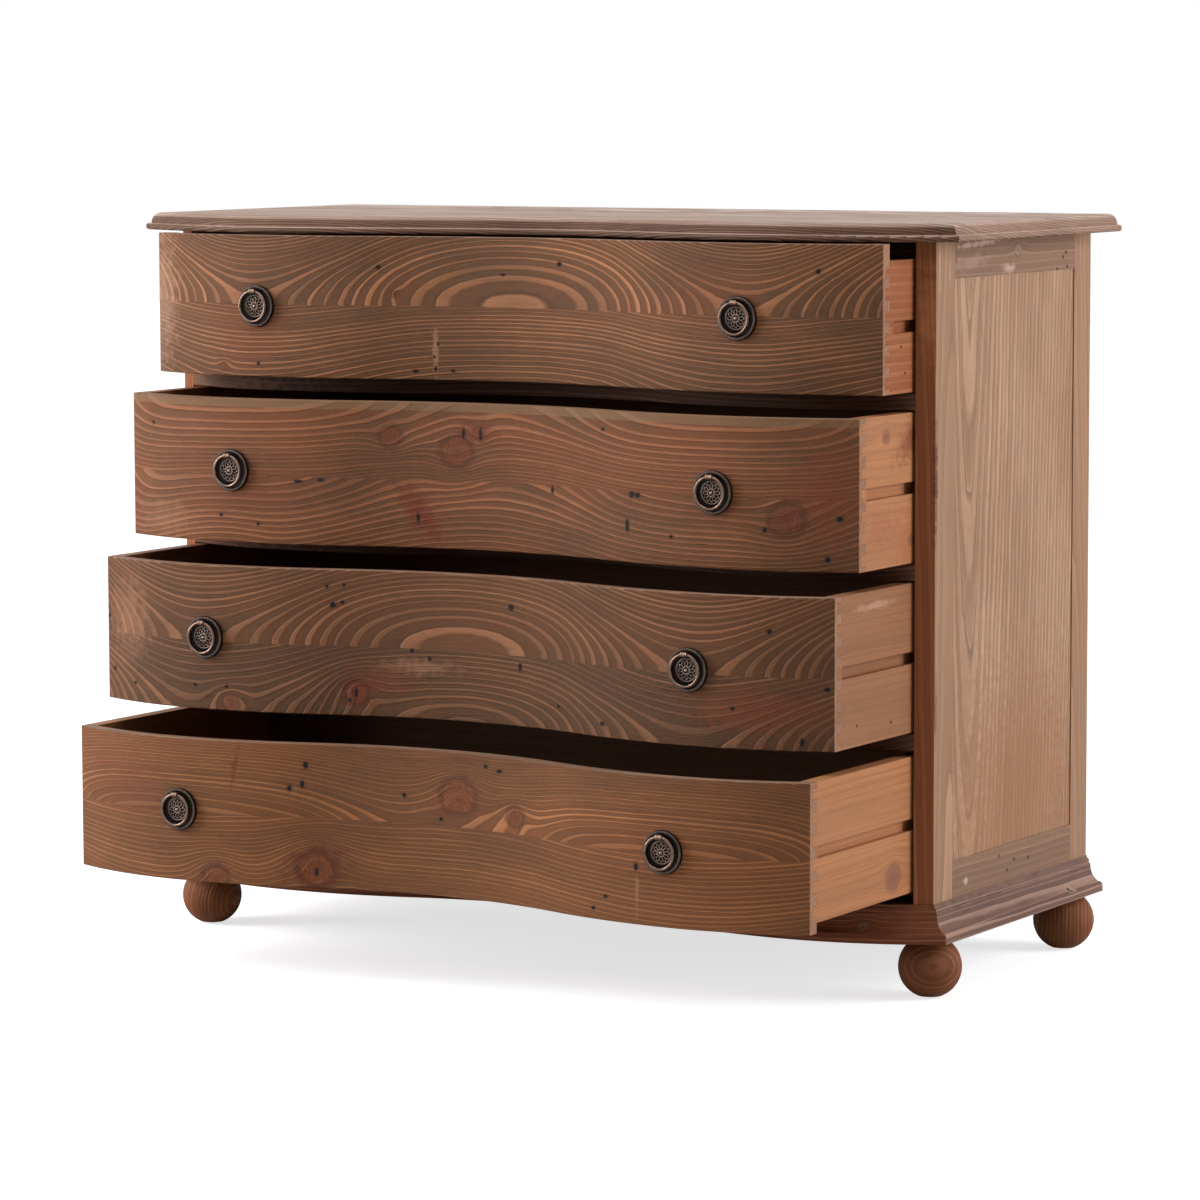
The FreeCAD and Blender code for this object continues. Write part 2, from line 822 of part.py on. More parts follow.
def make_rear_post(side_name, side):
    """A rear post with the panel groove, the rebate for the back and the back rails' mortises."""
    body = new_body(f"{side_name}_rear_post")
    outline = rectangle(span(side, inner_face, half_width), (rear_post_front, back_plane))
    pad(body, "post", "XY_Plane", case_low, outline, case_high - case_low)
    groove = rectangle(
        span(side, panel_inner - sizes.glue_gap, panel_outer + sizes.glue_gap),
        (rear_post_front - sizes.cut_overrun, rear_post_front + sizes.panel_groove_depth),
    )
    rebate = rectangle(
        span(side, inner_face - sizes.cut_overrun, inner_face + sizes.back_rebate),
        (panel_face, back_plane + sizes.cut_overrun),
    )
    height = case_high - case_low
    pocket(body, "groove_and_rebate", "XY_Plane", case_low, [groove, rebate], height, backwards=True)
    mortises = []
    for low in BACK_RAIL_LOWS.values():
        bottom, top = back_tenon_height(low)
        across = (back_tenon[0] - sizes.glue_gap, back_tenon[1] + sizes.glue_gap)
        mortises.append(rectangle(across, (bottom - sizes.glue_gap, top + sizes.glue_gap)))
    depth = sizes.tenon_length + sizes.glue_gap
    pocket(body, "mortises", "YZ_Plane", side * inner_face, mortises, depth, backwards=side > 0)
    keep(body)


def make_side_rails(side_name, side):
    """The two rails of a side frame: stub tenons in the posts' grooves, the panel in their own."""
    outer = span(side, inner_face, half_width)
    tongue = span(side, panel_inner, panel_outer)
    slot = span(side, panel_inner - sizes.glue_gap, panel_outer + sizes.glue_gap)
    length = (post_back, rear_post_front)
    stub = sizes.panel_groove_depth - sizes.glue_gap
    tenons = (post_back - stub, rear_post_front + stub)
    window_low = plinth_high + sizes.side_rail_width
    window_high = case_high - sizes.side_rail_width
    rails = []
    for name, edges, grooved, tenon_height in (
        ("bottom", (case_low, window_low), (window_low - sizes.panel_groove_depth, window_low), 0),
        ("top", (window_high, case_high), (window_high, window_high + sizes.panel_groove_depth), 1),
    ):
        prefix = f"{side_name}_{name}_side_rail"
        board = block(prefix + "_board", outer, length, edges)
        clear = (case_low, grooved[0]) if tenon_height == 0 else (grooved[1], case_high)
        tenon = block(prefix + "_tenons", tongue, tenons, clear)
        groove = block(prefix + "_groove", slot, length, grooved)
        solid = fuse(prefix + "_solid", [board, tenon])
        rails.append(cut(prefix, solid, [groove]))
    keep(group(f"{side_name}_side_rails", rails))
    reach = sizes.panel_groove_depth - sizes.panel_play
    panel = block(
        f"{side_name}_side_panel",
        tongue,
        (post_back - reach, rear_post_front + reach),
        (window_low - reach, window_high + reach),
    )
    keep(panel)


# Back

def make_back():
    """Tongued back boards in the posts' rebates, and the two rails behind them."""
    reach = inner_face + sizes.back_rebate - sizes.glue_gap
    board = block("back_boards", (-reach, reach), (panel_face, back_plane), (case_low, case_high))
    vees = []
    for index in range(1, BACK_BOARDS):
        x = -inner_face + (inner_face * 2 / BACK_BOARDS) * index
        across = (x - sizes.back_vee_width / 2, x + sizes.back_vee_width / 2)
        depth = (back_plane - sizes.back_vee_depth, back_plane + sizes.cut_overrun)
        height = (case_low - sizes.cut_overrun, case_high + sizes.cut_overrun)
        vees.append(block(f"board_joint_{index}", across, depth, height))
    keep(cut("back_panel", board, vees))
    tenon_reach = inner_face + sizes.tenon_length
    rails = []
    for name, low in BACK_RAIL_LOWS.items():
        prefix = f"{name}_back_rail"
        height = (low, low + sizes.back_rail_width)
        rail = block(prefix + "_board", (-inner_face, inner_face), (back_rail_front, panel_face), height)
        tenon = block(prefix + "_tenons", (-tenon_reach, tenon_reach), back_tenon, back_tenon_height(low))
        rails.append(fuse(prefix, [rail, tenon]))
    keep(group("back_rails", rails))


# Rails and dividers across the front

def cross_tenons(body, middle):
    """The stub tenons at both ends of a rail or divider."""
    reach = inner_face + sizes.tenon_length
    outline = rectangle((-reach, reach), (tenon_low, tenon_high))
    low = middle - sizes.tenon_thick / 2
    return pad(body, "tenons", "XY_Plane", low, outline, sizes.tenon_thick)


def curved_board():
    """The outline of a rail between the posts whose front follows the curve."""
    return [Curve(inner_face), Corner(inner_face, post_back), Corner(-inner_face, post_back)]


def make_front_rails():
    """The top rail behind the first drawer's front, the dividers, and the bottom rail with its strip."""
    top_front = front_plane + sizes.top_rail_setback
    top_rail = new_body("front_top_rail")
    outline = rectangle((-inner_face, inner_face), (top_front, top_front + sizes.top_rail_width))
    pad(top_rail, "rail", "XY_Plane", top_rail_low, outline, sizes.top_rail_thick)
    cross_tenons(top_rail, case_high - sizes.top_rail_thick / 2)
    keep(top_rail)

    for number, low in enumerate(DIVIDERS, 1):
        divider = new_body(f"divider_{number}")
        board = pad(divider, "board", "XY_Plane", low, curved_board(), sizes.divider_thick)
        round_edges(
            divider, "soft_front", board, sizes.edge_round,
            lambda edge, middle: "Circle" in edge.Curve.TypeId,
        )
        cross_tenons(divider, low + sizes.divider_thick / 2)
        keep(divider)

    bottom_rail = new_body("front_bottom_rail")
    pad(bottom_rail, "rail", "XY_Plane", case_low, curved_board(), plinth_high - case_low)
    strip = rectangle((-inner_face, inner_face), (top_front, post_back))
    pad(bottom_rail, "stop_strip", "XY_Plane", plinth_high, strip, sizes.stop_strip_height)
    cross_tenons(bottom_rail, bottom_rail_middle)
    keep(bottom_rail)


# Top

def make_top_board():
    """The top, with a round lip, a step and an ovolo along the front and both sides."""
    body = new_body("top_board")
    reach = half_width + sizes.top_overhang
    rear = back_plane + sizes.top_back_overhang
    outline = [Curve(reach, sizes.top_overhang), Corner(reach, rear), Corner(-reach, rear)]
    lip = pad(body, "lip", "XY_Plane", case_high, outline, sizes.lip_height)

    def moulded(edge, middle):
        return level(edge, middle.z) and not near(middle.y, rear)

    round_edges(body, "lip_nose", lip, sizes.lip_round, moulded)
    inset = sizes.top_overhang - sizes.lip_step
    reach = half_width + inset
    outline = [Curve(reach, inset), Corner(reach, rear), Corner(-reach, rear)]
    lip_high = case_high + sizes.lip_height
    upper = pad(body, "upper", "XY_Plane", lip_high, outline, sizes.top_thick - sizes.lip_height)
    top = case_high + sizes.top_thick
    round_edges(
        body, "ovolo", upper, sizes.ovolo_round,
        lambda edge, middle: level(edge, top) and not near(middle.y, rear),
    )
    keep(body)


# Runners

def countersunk(name, x_span, y, z):
    """A screw along X at a runner, and the hole that it and its sunk head need in the wood."""
    ends = {}
    for part, gap in (("screw", as_length(0)), ("hole", sizes.glue_gap)):
        shank_x, head_x = x_span
        shank_length = sizes.runner_reach + sizes.screw_bite
        radius = sizes.screw_radius + gap
        shank = rod(f"{name}_{part}_shank", radius, shank_length, shank_x, y, z, ALONG_X)
        radius = sizes.screw_head_radius + gap
        head = rod(f"{name}_{part}_head", radius, sizes.screw_head_height, head_x, y, z, ALONG_X)
        ends[part] = fuse(f"{name}_{part}", [shank, head])
    return ends["screw"], ends["hole"]


def make_runners():
    """Hardwood runners on the inside of the posts, two screws in each."""
    inner = inner_face - sizes.runner_reach
    front = front_plane + sizes.runner_setback
    rear = panel_face - sizes.runner_back_gap
    shank_end = inner_face + sizes.screw_bite
    head_end = inner + sizes.screw_head_height
    inset = sizes.runner_screw_inset
    runners = []
    screws = []
    for number in range(1, DRAWERS + 1):
        low = runner_low(number)
        height = (low, low + sizes.runner_height)
        middle = low + sizes.runner_height / 2
        for side_name, side in SIDES.items():
            name = f"runner_{side_name}_{number}"
            strip = block(name + "_strip", span(side, inner, inner_face), (front, rear), height)
            starts = (span(side, inner, shank_end)[0], span(side, inner, head_end)[0])
            holes = []
            for end, y in (("front", front + inset), ("rear", rear - inset)):
                screw, hole = countersunk(f"{name}_{end}", starts, y, middle)
                screws.append(screw)
                holes.append(hole)
            runners.append(cut(name, strip, holes))
    keep(group("drawer_runners", runners))
    keep(group("runner_screws", screws))


# Drawers

box_face = inner_face - sizes.drawer_side_gap
box_inner = box_face - sizes.drawer_side_thick
joint_plane = curve_at(box_face, as_length(0)) + sizes.drawer_front_thick
box_rear = back_rail_front - sizes.drawer_back_gap
back_high_y = box_rear - sizes.drawer_back_inset
back_low_y = back_high_y - sizes.drawer_back_thick


def tail_outline(low, pitch, gap, opening):
    """One dovetail of the lowest pitch, widened all round by a gap."""
    middle = low + pitch / 2
    root_reach = sizes.tail_root_width / 2 + gap
    end_reach = sizes.tail_end_width / 2 + gap
    tip = joint_plane - sizes.tail_length - gap - opening
    line = joint_plane - opening
    return [
        Corner(line, middle - root_reach),
        Corner(line, middle + root_reach),
        Corner(tip, middle + end_reach),
        Corner(tip, middle - end_reach),
    ]


def make_drawer_front(number, opening):
    """The curved front: sockets for the tails, a slot for the bottom and holes for the pulls."""
    low, high = drawer_front_span(number)
    box_low, box_high = drawer_box_span(number)
    line = joint_plane - opening
    body = new_body(f"drawer_{number}_front")
    outline = [
        Curve(box_face, shift=-opening),
        Corner(box_face, line),
        Corner(box_inner, line),
        Curve(box_inner, shift=sizes.drawer_front_thick - opening, leftwards=True),
        Corner(-box_inner, line),
        Corner(-box_face, line),
    ]
    board = pad(body, "board", "XY_Plane", low, outline, high - low)

    def face_edge(edge, middle):
        inside = middle.y - curve_value(middle.x, opening)
        return "Circle" in edge.Curve.TypeId and inside < sizes.drawer_front_thick.value / 2

    round_edges(body, "soft_face", board, sizes.edge_round, face_edge)
    slot_low = box_low + sizes.drawer_bottom_raise - sizes.glue_gap
    slot_shift = sizes.drawer_front_thick - sizes.drawer_slot_depth - opening
    slot_rear = hollow_plane + sizes.drawer_front_thick + sizes.cut_overrun - opening
    slot = [
        Curve(box_inner, shift=slot_shift),
        Corner(box_inner, slot_rear),
        Corner(-box_inner, slot_rear),
    ]
    slot_height = sizes.drawer_bottom_thick + sizes.glue_gap * 2
    pocket(body, "bottom_slot", "XY_Plane", slot_low, [slot], slot_height, backwards=True)
    count = TAIL_COUNTS[number - 1]
    pitch = (box_high - box_low) / count
    for side_name, side in SIDES.items():
        name = f"{side_name}_sockets"
        first = [tail_outline(box_low, pitch, sizes.glue_gap, opening)]
        depth = sizes.drawer_side_thick
        face = side * box_face
        socket = pocket(body, name + "_first", "YZ_Plane", face, first, depth, backwards=side < 0)
        repeat_up(body, name, socket, pitch, count)
    ahead = opening + sizes.cut_overrun - peak_plane
    sketch = new_sketch(body, "pull_holes_outline", "XZ_Plane", ahead)
    for side in SIDES.values():
        draw_circle(sketch, side * handle_reach, (low + high) / 2, sizes.handle_screw_hole)
    through = sizes.hollow_depth + sizes.drawer_front_thick + sizes.cut_overrun * 2
    add_feature(body, "Pocket", "pull_holes", sketch, through)
    keep(body)


def curve_value(x, opening):
    """Y of an open drawer's face at a distance from the middle, as a plain number."""
    reach = abs(x)
    bulge = bulge_reach.value
    if reach > bulge:
        radius = outer_radius.value
        y = peak_plane.value + radius - math.sqrt(radius ** 2 - (reach - bulge) ** 2)
    elif reach > bulge / 2:
        radius = inner_radius.value
        y = peak_plane.value + radius - math.sqrt(radius ** 2 - (bulge - reach) ** 2)
    else:
        radius = inner_radius.value
        y = hollow_plane.value - radius + math.sqrt(radius ** 2 - reach ** 2)
    return y - opening.value


def make_drawer_side(number, side_name, side, opening):
    """A side: tails at the front, the runner's groove outside, the bottom's slot and a housing inside."""
    low, high = drawer_box_span(number)
    line = joint_plane - opening
    rear = box_rear - opening
    body = new_body(f"drawer_{number}_{side_name}_side")
    inner_end = span(side, box_inner, box_face)[0]
    thick = sizes.drawer_side_thick
    pad(body, "board", "YZ_Plane", inner_end, rectangle((line, rear), (low, high)), thick)
    count = TAIL_COUNTS[number - 1]
    pitch = (high - low) / count
    first = tail_outline(low, pitch, as_length(0), opening)
    tail = pad(body, "first_tail", "YZ_Plane", inner_end, first, thick)
    repeat_up(body, "tails", tail, pitch, count)
    groove_low = (low + high) / 2 - sizes.groove_height / 2
    groove_span = (groove_low, groove_low + sizes.groove_height)
    start = line + (sizes.groove_start_1 if number == 1 else sizes.groove_start)
    reach = rear + sizes.cut_overrun
    if number == 1:
        nose = sizes.groove_height / 2
        middle = (start + nose, groove_low + nose)
        groove = [
            Arc((start + nose, groove_span[1]), middle, (start + nose, groove_low), True),
            Corner(reach, groove_low),
            Corner(reach, groove_span[1]),
        ]
    else:
        groove = rectangle((start, reach), groove_span)
    outside = side * box_face
    inside = side * box_inner
    pocket(body, "runner_groove", "YZ_Plane", outside, [groove], sizes.groove_depth, backwards=side < 0)
    slot_low = low + sizes.drawer_bottom_raise - sizes.glue_gap
    slot_high = slot_low + sizes.drawer_bottom_thick + sizes.glue_gap * 2
    slot = rectangle((line, reach), (slot_low, slot_high))
    depth = sizes.drawer_slot_depth
    pocket(body, "bottom_slot", "YZ_Plane", inside, [slot], depth, backwards=side > 0)
    housing = rectangle(
        (back_low_y - opening - sizes.glue_gap, back_high_y - opening + sizes.glue_gap),
        (slot_high - sizes.glue_gap, high + sizes.cut_overrun),
    )
    depth = sizes.drawer_back_housing
    pocket(body, "back_housing", "YZ_Plane", inside, [housing], depth, backwards=side > 0)
    keep(body)


def make_drawer_inside(number, opening):
    """The back in its housings, and the bottom that slides in under it."""
    low, high = drawer_box_span(number)
    bottom_low = low + sizes.drawer_bottom_raise
    bottom_high = bottom_low + sizes.drawer_bottom_thick
    reach = box_inner + sizes.drawer_back_housing - sizes.glue_gap
    keep(block(
        f"drawer_{number}_back",
        (-reach, reach),
        (back_low_y - opening, back_high_y - opening),
        (bottom_high + sizes.glue_gap, high),
    ))
    body = new_body(f"drawer_{number}_bottom")
    line = joint_plane + sizes.glue_gap - opening
    inner = box_inner - sizes.glue_gap
    reach = box_inner + sizes.drawer_slot_depth - sizes.glue_gap
    shift = sizes.drawer_front_thick - sizes.drawer_slot_depth + sizes.glue_gap - opening
    outline = [
        Curve(inner, shift=shift),
        Corner(inner, line),
        Corner(reach, line),
        Corner(reach, back_high_y - opening),
        Corner(-reach, back_high_y - opening),
        Corner(-reach, line),
        Corner(-inner, line),
    ]
    pad(body, "panel", "XY_Plane", bottom_low, outline, sizes.drawer_bottom_thick)
    keep(body)


# Ring pulls

def make_rosette():
    """One round plate about its own middle: rim, channel, dome and the lug that the ring hangs from."""
    body = new_body("rosette")
    floor = -sizes.plate_floor
    rim = -sizes.plate_rim_height
    radius = sizes.plate_radius
    inner_rim = radius - sizes.plate_rim_width
    chamfer = sizes.plate_rim_chamfer
    bore = sizes.screw_radius + sizes.glue_gap
    dome = sizes.dome_radius
    rise = sizes.dome_height - sizes.dome_foot
    dome_round = (dome * dome + rise * rise) / (rise * 2)
    profile = [
        Corner(0, -sizes.handle_screw_depth),
        Corner(bore, -sizes.handle_screw_depth),
        Corner(bore, 0),
        Corner(radius, 0),
        Corner(radius, rim + chamfer),
        Corner(radius - chamfer, rim),
        Corner(inner_rim + chamfer, rim),
        Corner(inner_rim - chamfer, floor),
        Corner(dome, floor),
        Arc((dome, -sizes.dome_foot), (0, dome_round - sizes.dome_height), (0, -sizes.dome_height), False),
    ]
    revolve(body, "plate", "XY_Plane", profile)
    foot = sizes.plate_floor / 2
    top = sizes.ring_radius + sizes.lug_radius
    bottom = sizes.ring_radius - sizes.lug_radius
    stand = -sizes.ring_stand
    lug = [
        Corner(-foot, bottom),
        Corner(-foot, top),
        Arc((stand, top), (stand, sizes.ring_radius), (stand, bottom), True),
    ]
    pad(body, "lug", "YZ_Plane", 0, lug, sizes.lug_width, both_ways=True)
    sketch = new_sketch(body, "lug_bore_outline", "YZ_Plane", 0)
    draw_circle(sketch, stand, sizes.ring_radius, sizes.lug_bore)
    add_feature(body, "Pocket", "lug_bore", sketch, sizes.lug_width * 2, both_ways=True)
    return body


def make_pulls(number, rosette, opening):
    """The two plates of a drawer, their screws from inside, and a ring in each lug."""
    low, high = drawer_front_span(number)
    middle = (low + high) / 2
    seat = peak_plane - opening - sizes.glue_gap
    inside = peak_plane - opening + sizes.drawer_front_thick + sizes.running_gap
    plates = []
    screws = []
    for side_name, side in SIDES.items():
        name = f"drawer_{number}_{side_name}"
        x = side * handle_reach
        plates.append(copy_at(name + "_plate", rosette, x, seat, middle))
        shank_start = seat - sizes.handle_screw_depth + sizes.running_gap
        length = inside - shank_start
        shank = rod(name + "_shank", sizes.screw_radius, length, x, shank_start, middle, ALONG_Y)
        radius = sizes.screw_head_radius
        head = rod(name + "_head", radius, sizes.screw_head_height, x, inside, middle, ALONG_Y)
        screws.append(fuse(name + "_screw", [shank, head]))
        ring = doc.addObject("Part::Torus", name + "_ring")
        ring.Placement = Placement(Vector(0, 0, 0), ALONG_Y)
        ring.setExpression("Radius1", sizes.ring_radius.formula)
        ring.setExpression("Radius2", sizes.ring_wire.formula)
        for axis, place in zip("xyz", (x, seat - sizes.ring_stand, middle)):
            ring.setExpression("Placement.Base." + axis, place.formula)
        keep(ring)
    keep(group(f"drawer_{number}_rosettes", plates))
    keep(group(f"drawer_{number}_pull_screws", screws))


def make_drawers():
    """Four drawers, standing open as in the photographed pose."""
    rosette = make_rosette()
    openings = (sizes.drawer_open_1, sizes.drawer_open_2, sizes.drawer_open_3, sizes.drawer_open_4)
    for number, opening in enumerate(openings, 1):
        make_drawer_front(number, opening)
        for side_name, side in SIDES.items():
            make_drawer_side(number, side_name, side, opening)
        make_drawer_inside(number, opening)
        make_pulls(number, rosette, opening)


def write_parts():
    """Check every object, then write each node's solid."""
    doc.recompute()
    failed = [item.Name for item in doc.Objects if {"Invalid", "Error"} & set(item.State)]
    broken = [piece.Name for piece in NODES if piece.Shape.isNull() or not piece.Shape.isValid()]
    if failed or broken:
        raise RuntimeError(f"failed objects: {failed}, broken shapes: {broken}")
    os.makedirs("parts", exist_ok=True)
    for piece in NODES:
        piece.Shape.exportStep(f"parts/{piece.Label}.step")
        solids = len(piece.Shape.Solids)
        print(f"{piece.Label}: {solids} solid(s), {piece.Shape.Volume / 1000:.1f} cm3")


make_feet()
make_base_board()
make_plinth()
for side_name, side in SIDES.items():
    make_front_post(side_name, side)
    make_rear_post(side_name, side)
    make_side_rails(side_name, side)
make_back()
make_front_rails()
make_top_board()
make_runners()
make_drawers()
write_parts()
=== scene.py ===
# %% [markdown]
# A chest of four drawers with a serpentine front, dressed in Blender.
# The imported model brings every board, moulding, runner, screw and ring at its real size. This script gives
# them their finish: stained pine that was wire-brushed until the hard rings stood out, paler planed wood for
# the drawer boxes, and antique bronze for the pulls. It also models the pulls' ornament, which the solids
# only block out. It reads as a lesson: each step says what the real thing is and why it is made this way.

import math
from dataclasses import dataclass

import bmesh
import bpy
from mathutils import Matrix, Vector


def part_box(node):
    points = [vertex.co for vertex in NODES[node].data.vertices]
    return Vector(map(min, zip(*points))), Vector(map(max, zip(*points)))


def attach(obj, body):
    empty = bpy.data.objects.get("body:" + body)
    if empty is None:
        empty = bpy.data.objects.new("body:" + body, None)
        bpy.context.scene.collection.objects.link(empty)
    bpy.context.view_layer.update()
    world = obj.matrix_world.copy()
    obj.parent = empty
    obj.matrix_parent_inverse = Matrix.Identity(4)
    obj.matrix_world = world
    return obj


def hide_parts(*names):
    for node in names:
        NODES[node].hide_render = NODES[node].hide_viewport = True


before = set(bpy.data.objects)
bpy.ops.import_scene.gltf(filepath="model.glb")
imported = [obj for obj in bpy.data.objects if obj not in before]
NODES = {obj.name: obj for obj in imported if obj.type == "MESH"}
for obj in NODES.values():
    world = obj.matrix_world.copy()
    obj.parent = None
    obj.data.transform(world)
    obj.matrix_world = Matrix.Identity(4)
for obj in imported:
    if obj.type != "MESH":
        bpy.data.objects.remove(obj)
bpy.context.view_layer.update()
MM = 0.001

# %% [markdown]
# The camera stands where the photographer's did. Its place was worked out from straight edges of the case:
# five metres off, thirty degrees to the right of the front, at the height of the top, with a long lens. So
# the top is seen almost edge on, and the lines of the drawers hardly converge.

# %% Place the camera
CAMERA_PLACE = Vector((2.9948, -5.1603, 1.0615))
CAMERA_TURN = math.radians(30.50)
CAMERA_DIP = math.radians(6.13)
CAMERA_ROLL = math.radians(-0.16)
SENSOR = 36
LENS = 144.96

camera_data = bpy.data.cameras.new("photo_camera")
camera_data.sensor_width = SENSOR
camera_data.lens = LENS
camera = bpy.data.objects.new("photo_camera", camera_data)
bpy.context.scene.collection.objects.link(camera)
upright = Matrix.Rotation(CAMERA_TURN, 4, "Z") @ Matrix.Rotation(math.pi / 2 - CAMERA_DIP, 4, "X")
camera.matrix_world = Matrix.Translation(CAMERA_PLACE) @ upright @ Matrix.Rotation(CAMERA_ROLL, 4, "Z")
bpy.context.scene.camera = camera
print("camera at", tuple(round(value, 3) for value in camera.location))

# %% [markdown]
# Materials in Blender are graphs of nodes. A small helper keeps the recipes below readable: each call adds
# one node, joins its inputs and hands back its output, so a recipe reads like a sum.

# %% A helper that writes node recipes
class Recipe:
    """Adds nodes to one material or group, and joins them."""

    def __init__(self, tree):
        self.tree = tree

    def feed(self, socket, value):
        if isinstance(value, bpy.types.NodeSocket):
            self.tree.links.new(value, socket)
        else:
            socket.default_value = value

    def node(self, kind, inputs=(), **settings):
        """Add a node and feed its inputs, which are given in order or by name or number."""
        made = self.tree.nodes.new(kind)
        made.location = (len(self.tree.nodes) * 60, 0)
        for name, value in settings.items():
            setattr(made, name, value)
        for key, value in inputs.items() if isinstance(inputs, dict) else enumerate(inputs):
            self.feed(made.inputs[key], value)
        return made

    def math(self, operation, *values):
        return self.node("ShaderNodeMath", values, operation=operation).outputs[0]

    def add(self, first, second):
        return self.math("ADD", first, second)

    def take(self, first, second):
        return self.math("SUBTRACT", first, second)

    def times(self, first, second):
        return self.math("MULTIPLY", first, second)

    def length(self, x, y):
        return self.math("SQRT", self.add(self.times(x, x), self.times(y, y)))

    def ramp(self, value, start, end, low=0.0, high=1.0, kind="SMOOTHSTEP"):
        """Read a value between start and end as one between low and high."""
        made = self.node("ShaderNodeMapRange", (value, start, end, low, high), interpolation_type=kind)
        return made.outputs[0]

    def either(self, share, first, second):
        """The first number where share is 0, the second where it is 1."""
        return self.node("ShaderNodeMix", {0: share, 2: first, 3: second}, data_type="FLOAT").outputs[0]

    def blend(self, share, first, second, how="MIX"):
        """Blend two colours."""
        inputs = {0: share, 6: first, 7: second}
        return self.node("ShaderNodeMix", inputs, data_type="RGBA", blend_type=how).outputs[2]

    def point(self, x, y, z):
        return self.node("ShaderNodeCombineXYZ", (x, y, z)).outputs[0]

    def parts(self, vector):
        return self.node("ShaderNodeSeparateXYZ", (vector,)).outputs[:3]

    def cloud(self, vector, scale=1.0, detail=2.0, rough=0.5):
        """Soft noise from 0 to 1."""
        inputs = {"Vector": vector, "Scale": scale, "Detail": detail, "Roughness": rough}
        return self.node("ShaderNodeTexNoise", inputs).outputs["Fac"]

    def place(self, group, **inputs):
        """What one copy of a node group hands out, with its inputs given by name."""
        return self.node("ShaderNodeGroup", inputs, node_tree=group).outputs

    def finish(self, shader, kind="ShaderNodeOutputMaterial"):
        """Join a shader to the output."""
        self.feed(self.node(kind).inputs["Surface"], shader.outputs[0])


def colour(red, green, blue):
    """A colour from its 0 to 255 values as a screen shows them, by the sRGB curve."""
    shares = (value / 255 for value in (red, green, blue))
    light = (share / 12.92 if share < 0.04045 else ((share + 0.055) / 1.055) ** 2.4 for share in shares)
    return (*light, 1)


def new_material(name):
    """An empty material, and the recipe that fills it."""
    material = bpy.data.materials.new(name)
    material.use_nodes = True
    material.node_tree.nodes.clear()
    return material, Recipe(material.node_tree)


def socket_kind(vector):
    return "NodeSocketVector" if vector else "NodeSocketFloat"


def new_group(name, inputs, outputs):
    """An empty node group with named sockets, the recipe that fills it, and the sockets inside it."""
    group = bpy.data.node_groups.new(name, "ShaderNodeTree")
    for socket, default in inputs.items():
        kind = socket_kind(isinstance(default, tuple))
        made = group.interface.new_socket(socket, in_out="INPUT", socket_type=kind)
        made.default_value = default
    for socket in outputs:
        group.interface.new_socket(socket, in_out="OUTPUT", socket_type=socket_kind(socket == "Normal"))
    recipe = Recipe(group)
    given = recipe.node("NodeGroupInput").outputs
    handed = recipe.node("NodeGroupOutput").inputs
    return group, recipe, given, handed


print("recipe helper ready")

# %% [markdown]
# The chest stands in a white studio. The world is white for the camera and for reflections, and a dim grey
# for the light it sheds, so the background is white and the wood keeps its depth. The floor is a pale sheet
# that catches the shadow; a little light of its own, seen by the camera alone, lifts it to white.

# %% Build the studio
FLOOR_HALF = 14
WORLD_LIGHT = 0.24
FLOOR_TONE = (0.80, 0.80, 0.80, 1)
FLOOR_LIFT = 0.70
LIFT_START = 1.2
LIFT_END = 4.0
SQUARE = ((-1, -1), (1, -1), (1, 1), (-1, 1))

world = bpy.data.worlds.new("studio")
world.use_nodes = True
world.node_tree.nodes.clear()
sky = Recipe(world.node_tree)
rays = sky.node("ShaderNodeLightPath").outputs
mirrored = sky.math("MAXIMUM", rays["Is Glossy Ray"], rays["Is Transmission Ray"])
seen = sky.math("MAXIMUM", rays["Is Camera Ray"], mirrored)
strength = sky.either(seen, WORLD_LIGHT, 1.0)
back_light = sky.node("ShaderNodeBackground", {"Color": (1, 1, 1, 1), "Strength": strength})
sky.finish(back_light, "ShaderNodeOutputWorld")
bpy.context.scene.world = world

floor_mesh = bpy.data.meshes.new("floor")
corners = [(x * FLOOR_HALF, y * FLOOR_HALF, 0) for x, y in SQUARE]
floor_mesh.from_pydata(corners, [], [(0, 1, 2, 3)])
floor = bpy.data.objects.new("floor", floor_mesh)
bpy.context.scene.collection.objects.link(floor)
floor_finish, sheet = new_material("floor_sheet")
rays = sheet.node("ShaderNodeLightPath").outputs
paper = sheet.node("ShaderNodeBsdfDiffuse", {"Color": FLOOR_TONE})
floor_x, floor_y = sheet.parts(sheet.node("ShaderNodeTexCoord").outputs["Object"])[:2]
lift = sheet.ramp(sheet.length(floor_x, floor_y), LIFT_START, LIFT_END, FLOOR_LIFT, 1.0)
glow = sheet.node("ShaderNodeEmission", {"Strength": sheet.times(rays["Is Camera Ray"], lift)})
sheet.finish(sheet.node("ShaderNodeAddShader", (paper.outputs[0], glow.outputs[0])))
floor_mesh.materials.append(floor_finish)


def softbox(name, place, aim, size, watts):
    """A rectangular lamp that looks at a point."""
    data = bpy.data.lights.new(name, "AREA")
    data.shape = "RECTANGLE"
    data.size, data.size_y = size
    data.energy = watts
    lamp = bpy.data.objects.new(name, data)
    bpy.context.scene.collection.objects.link(lamp)
    lamp.location = place
    lamp.rotation_euler = (Vector(aim) - Vector(place)).to_track_quat("-Z", "Y").to_euler()


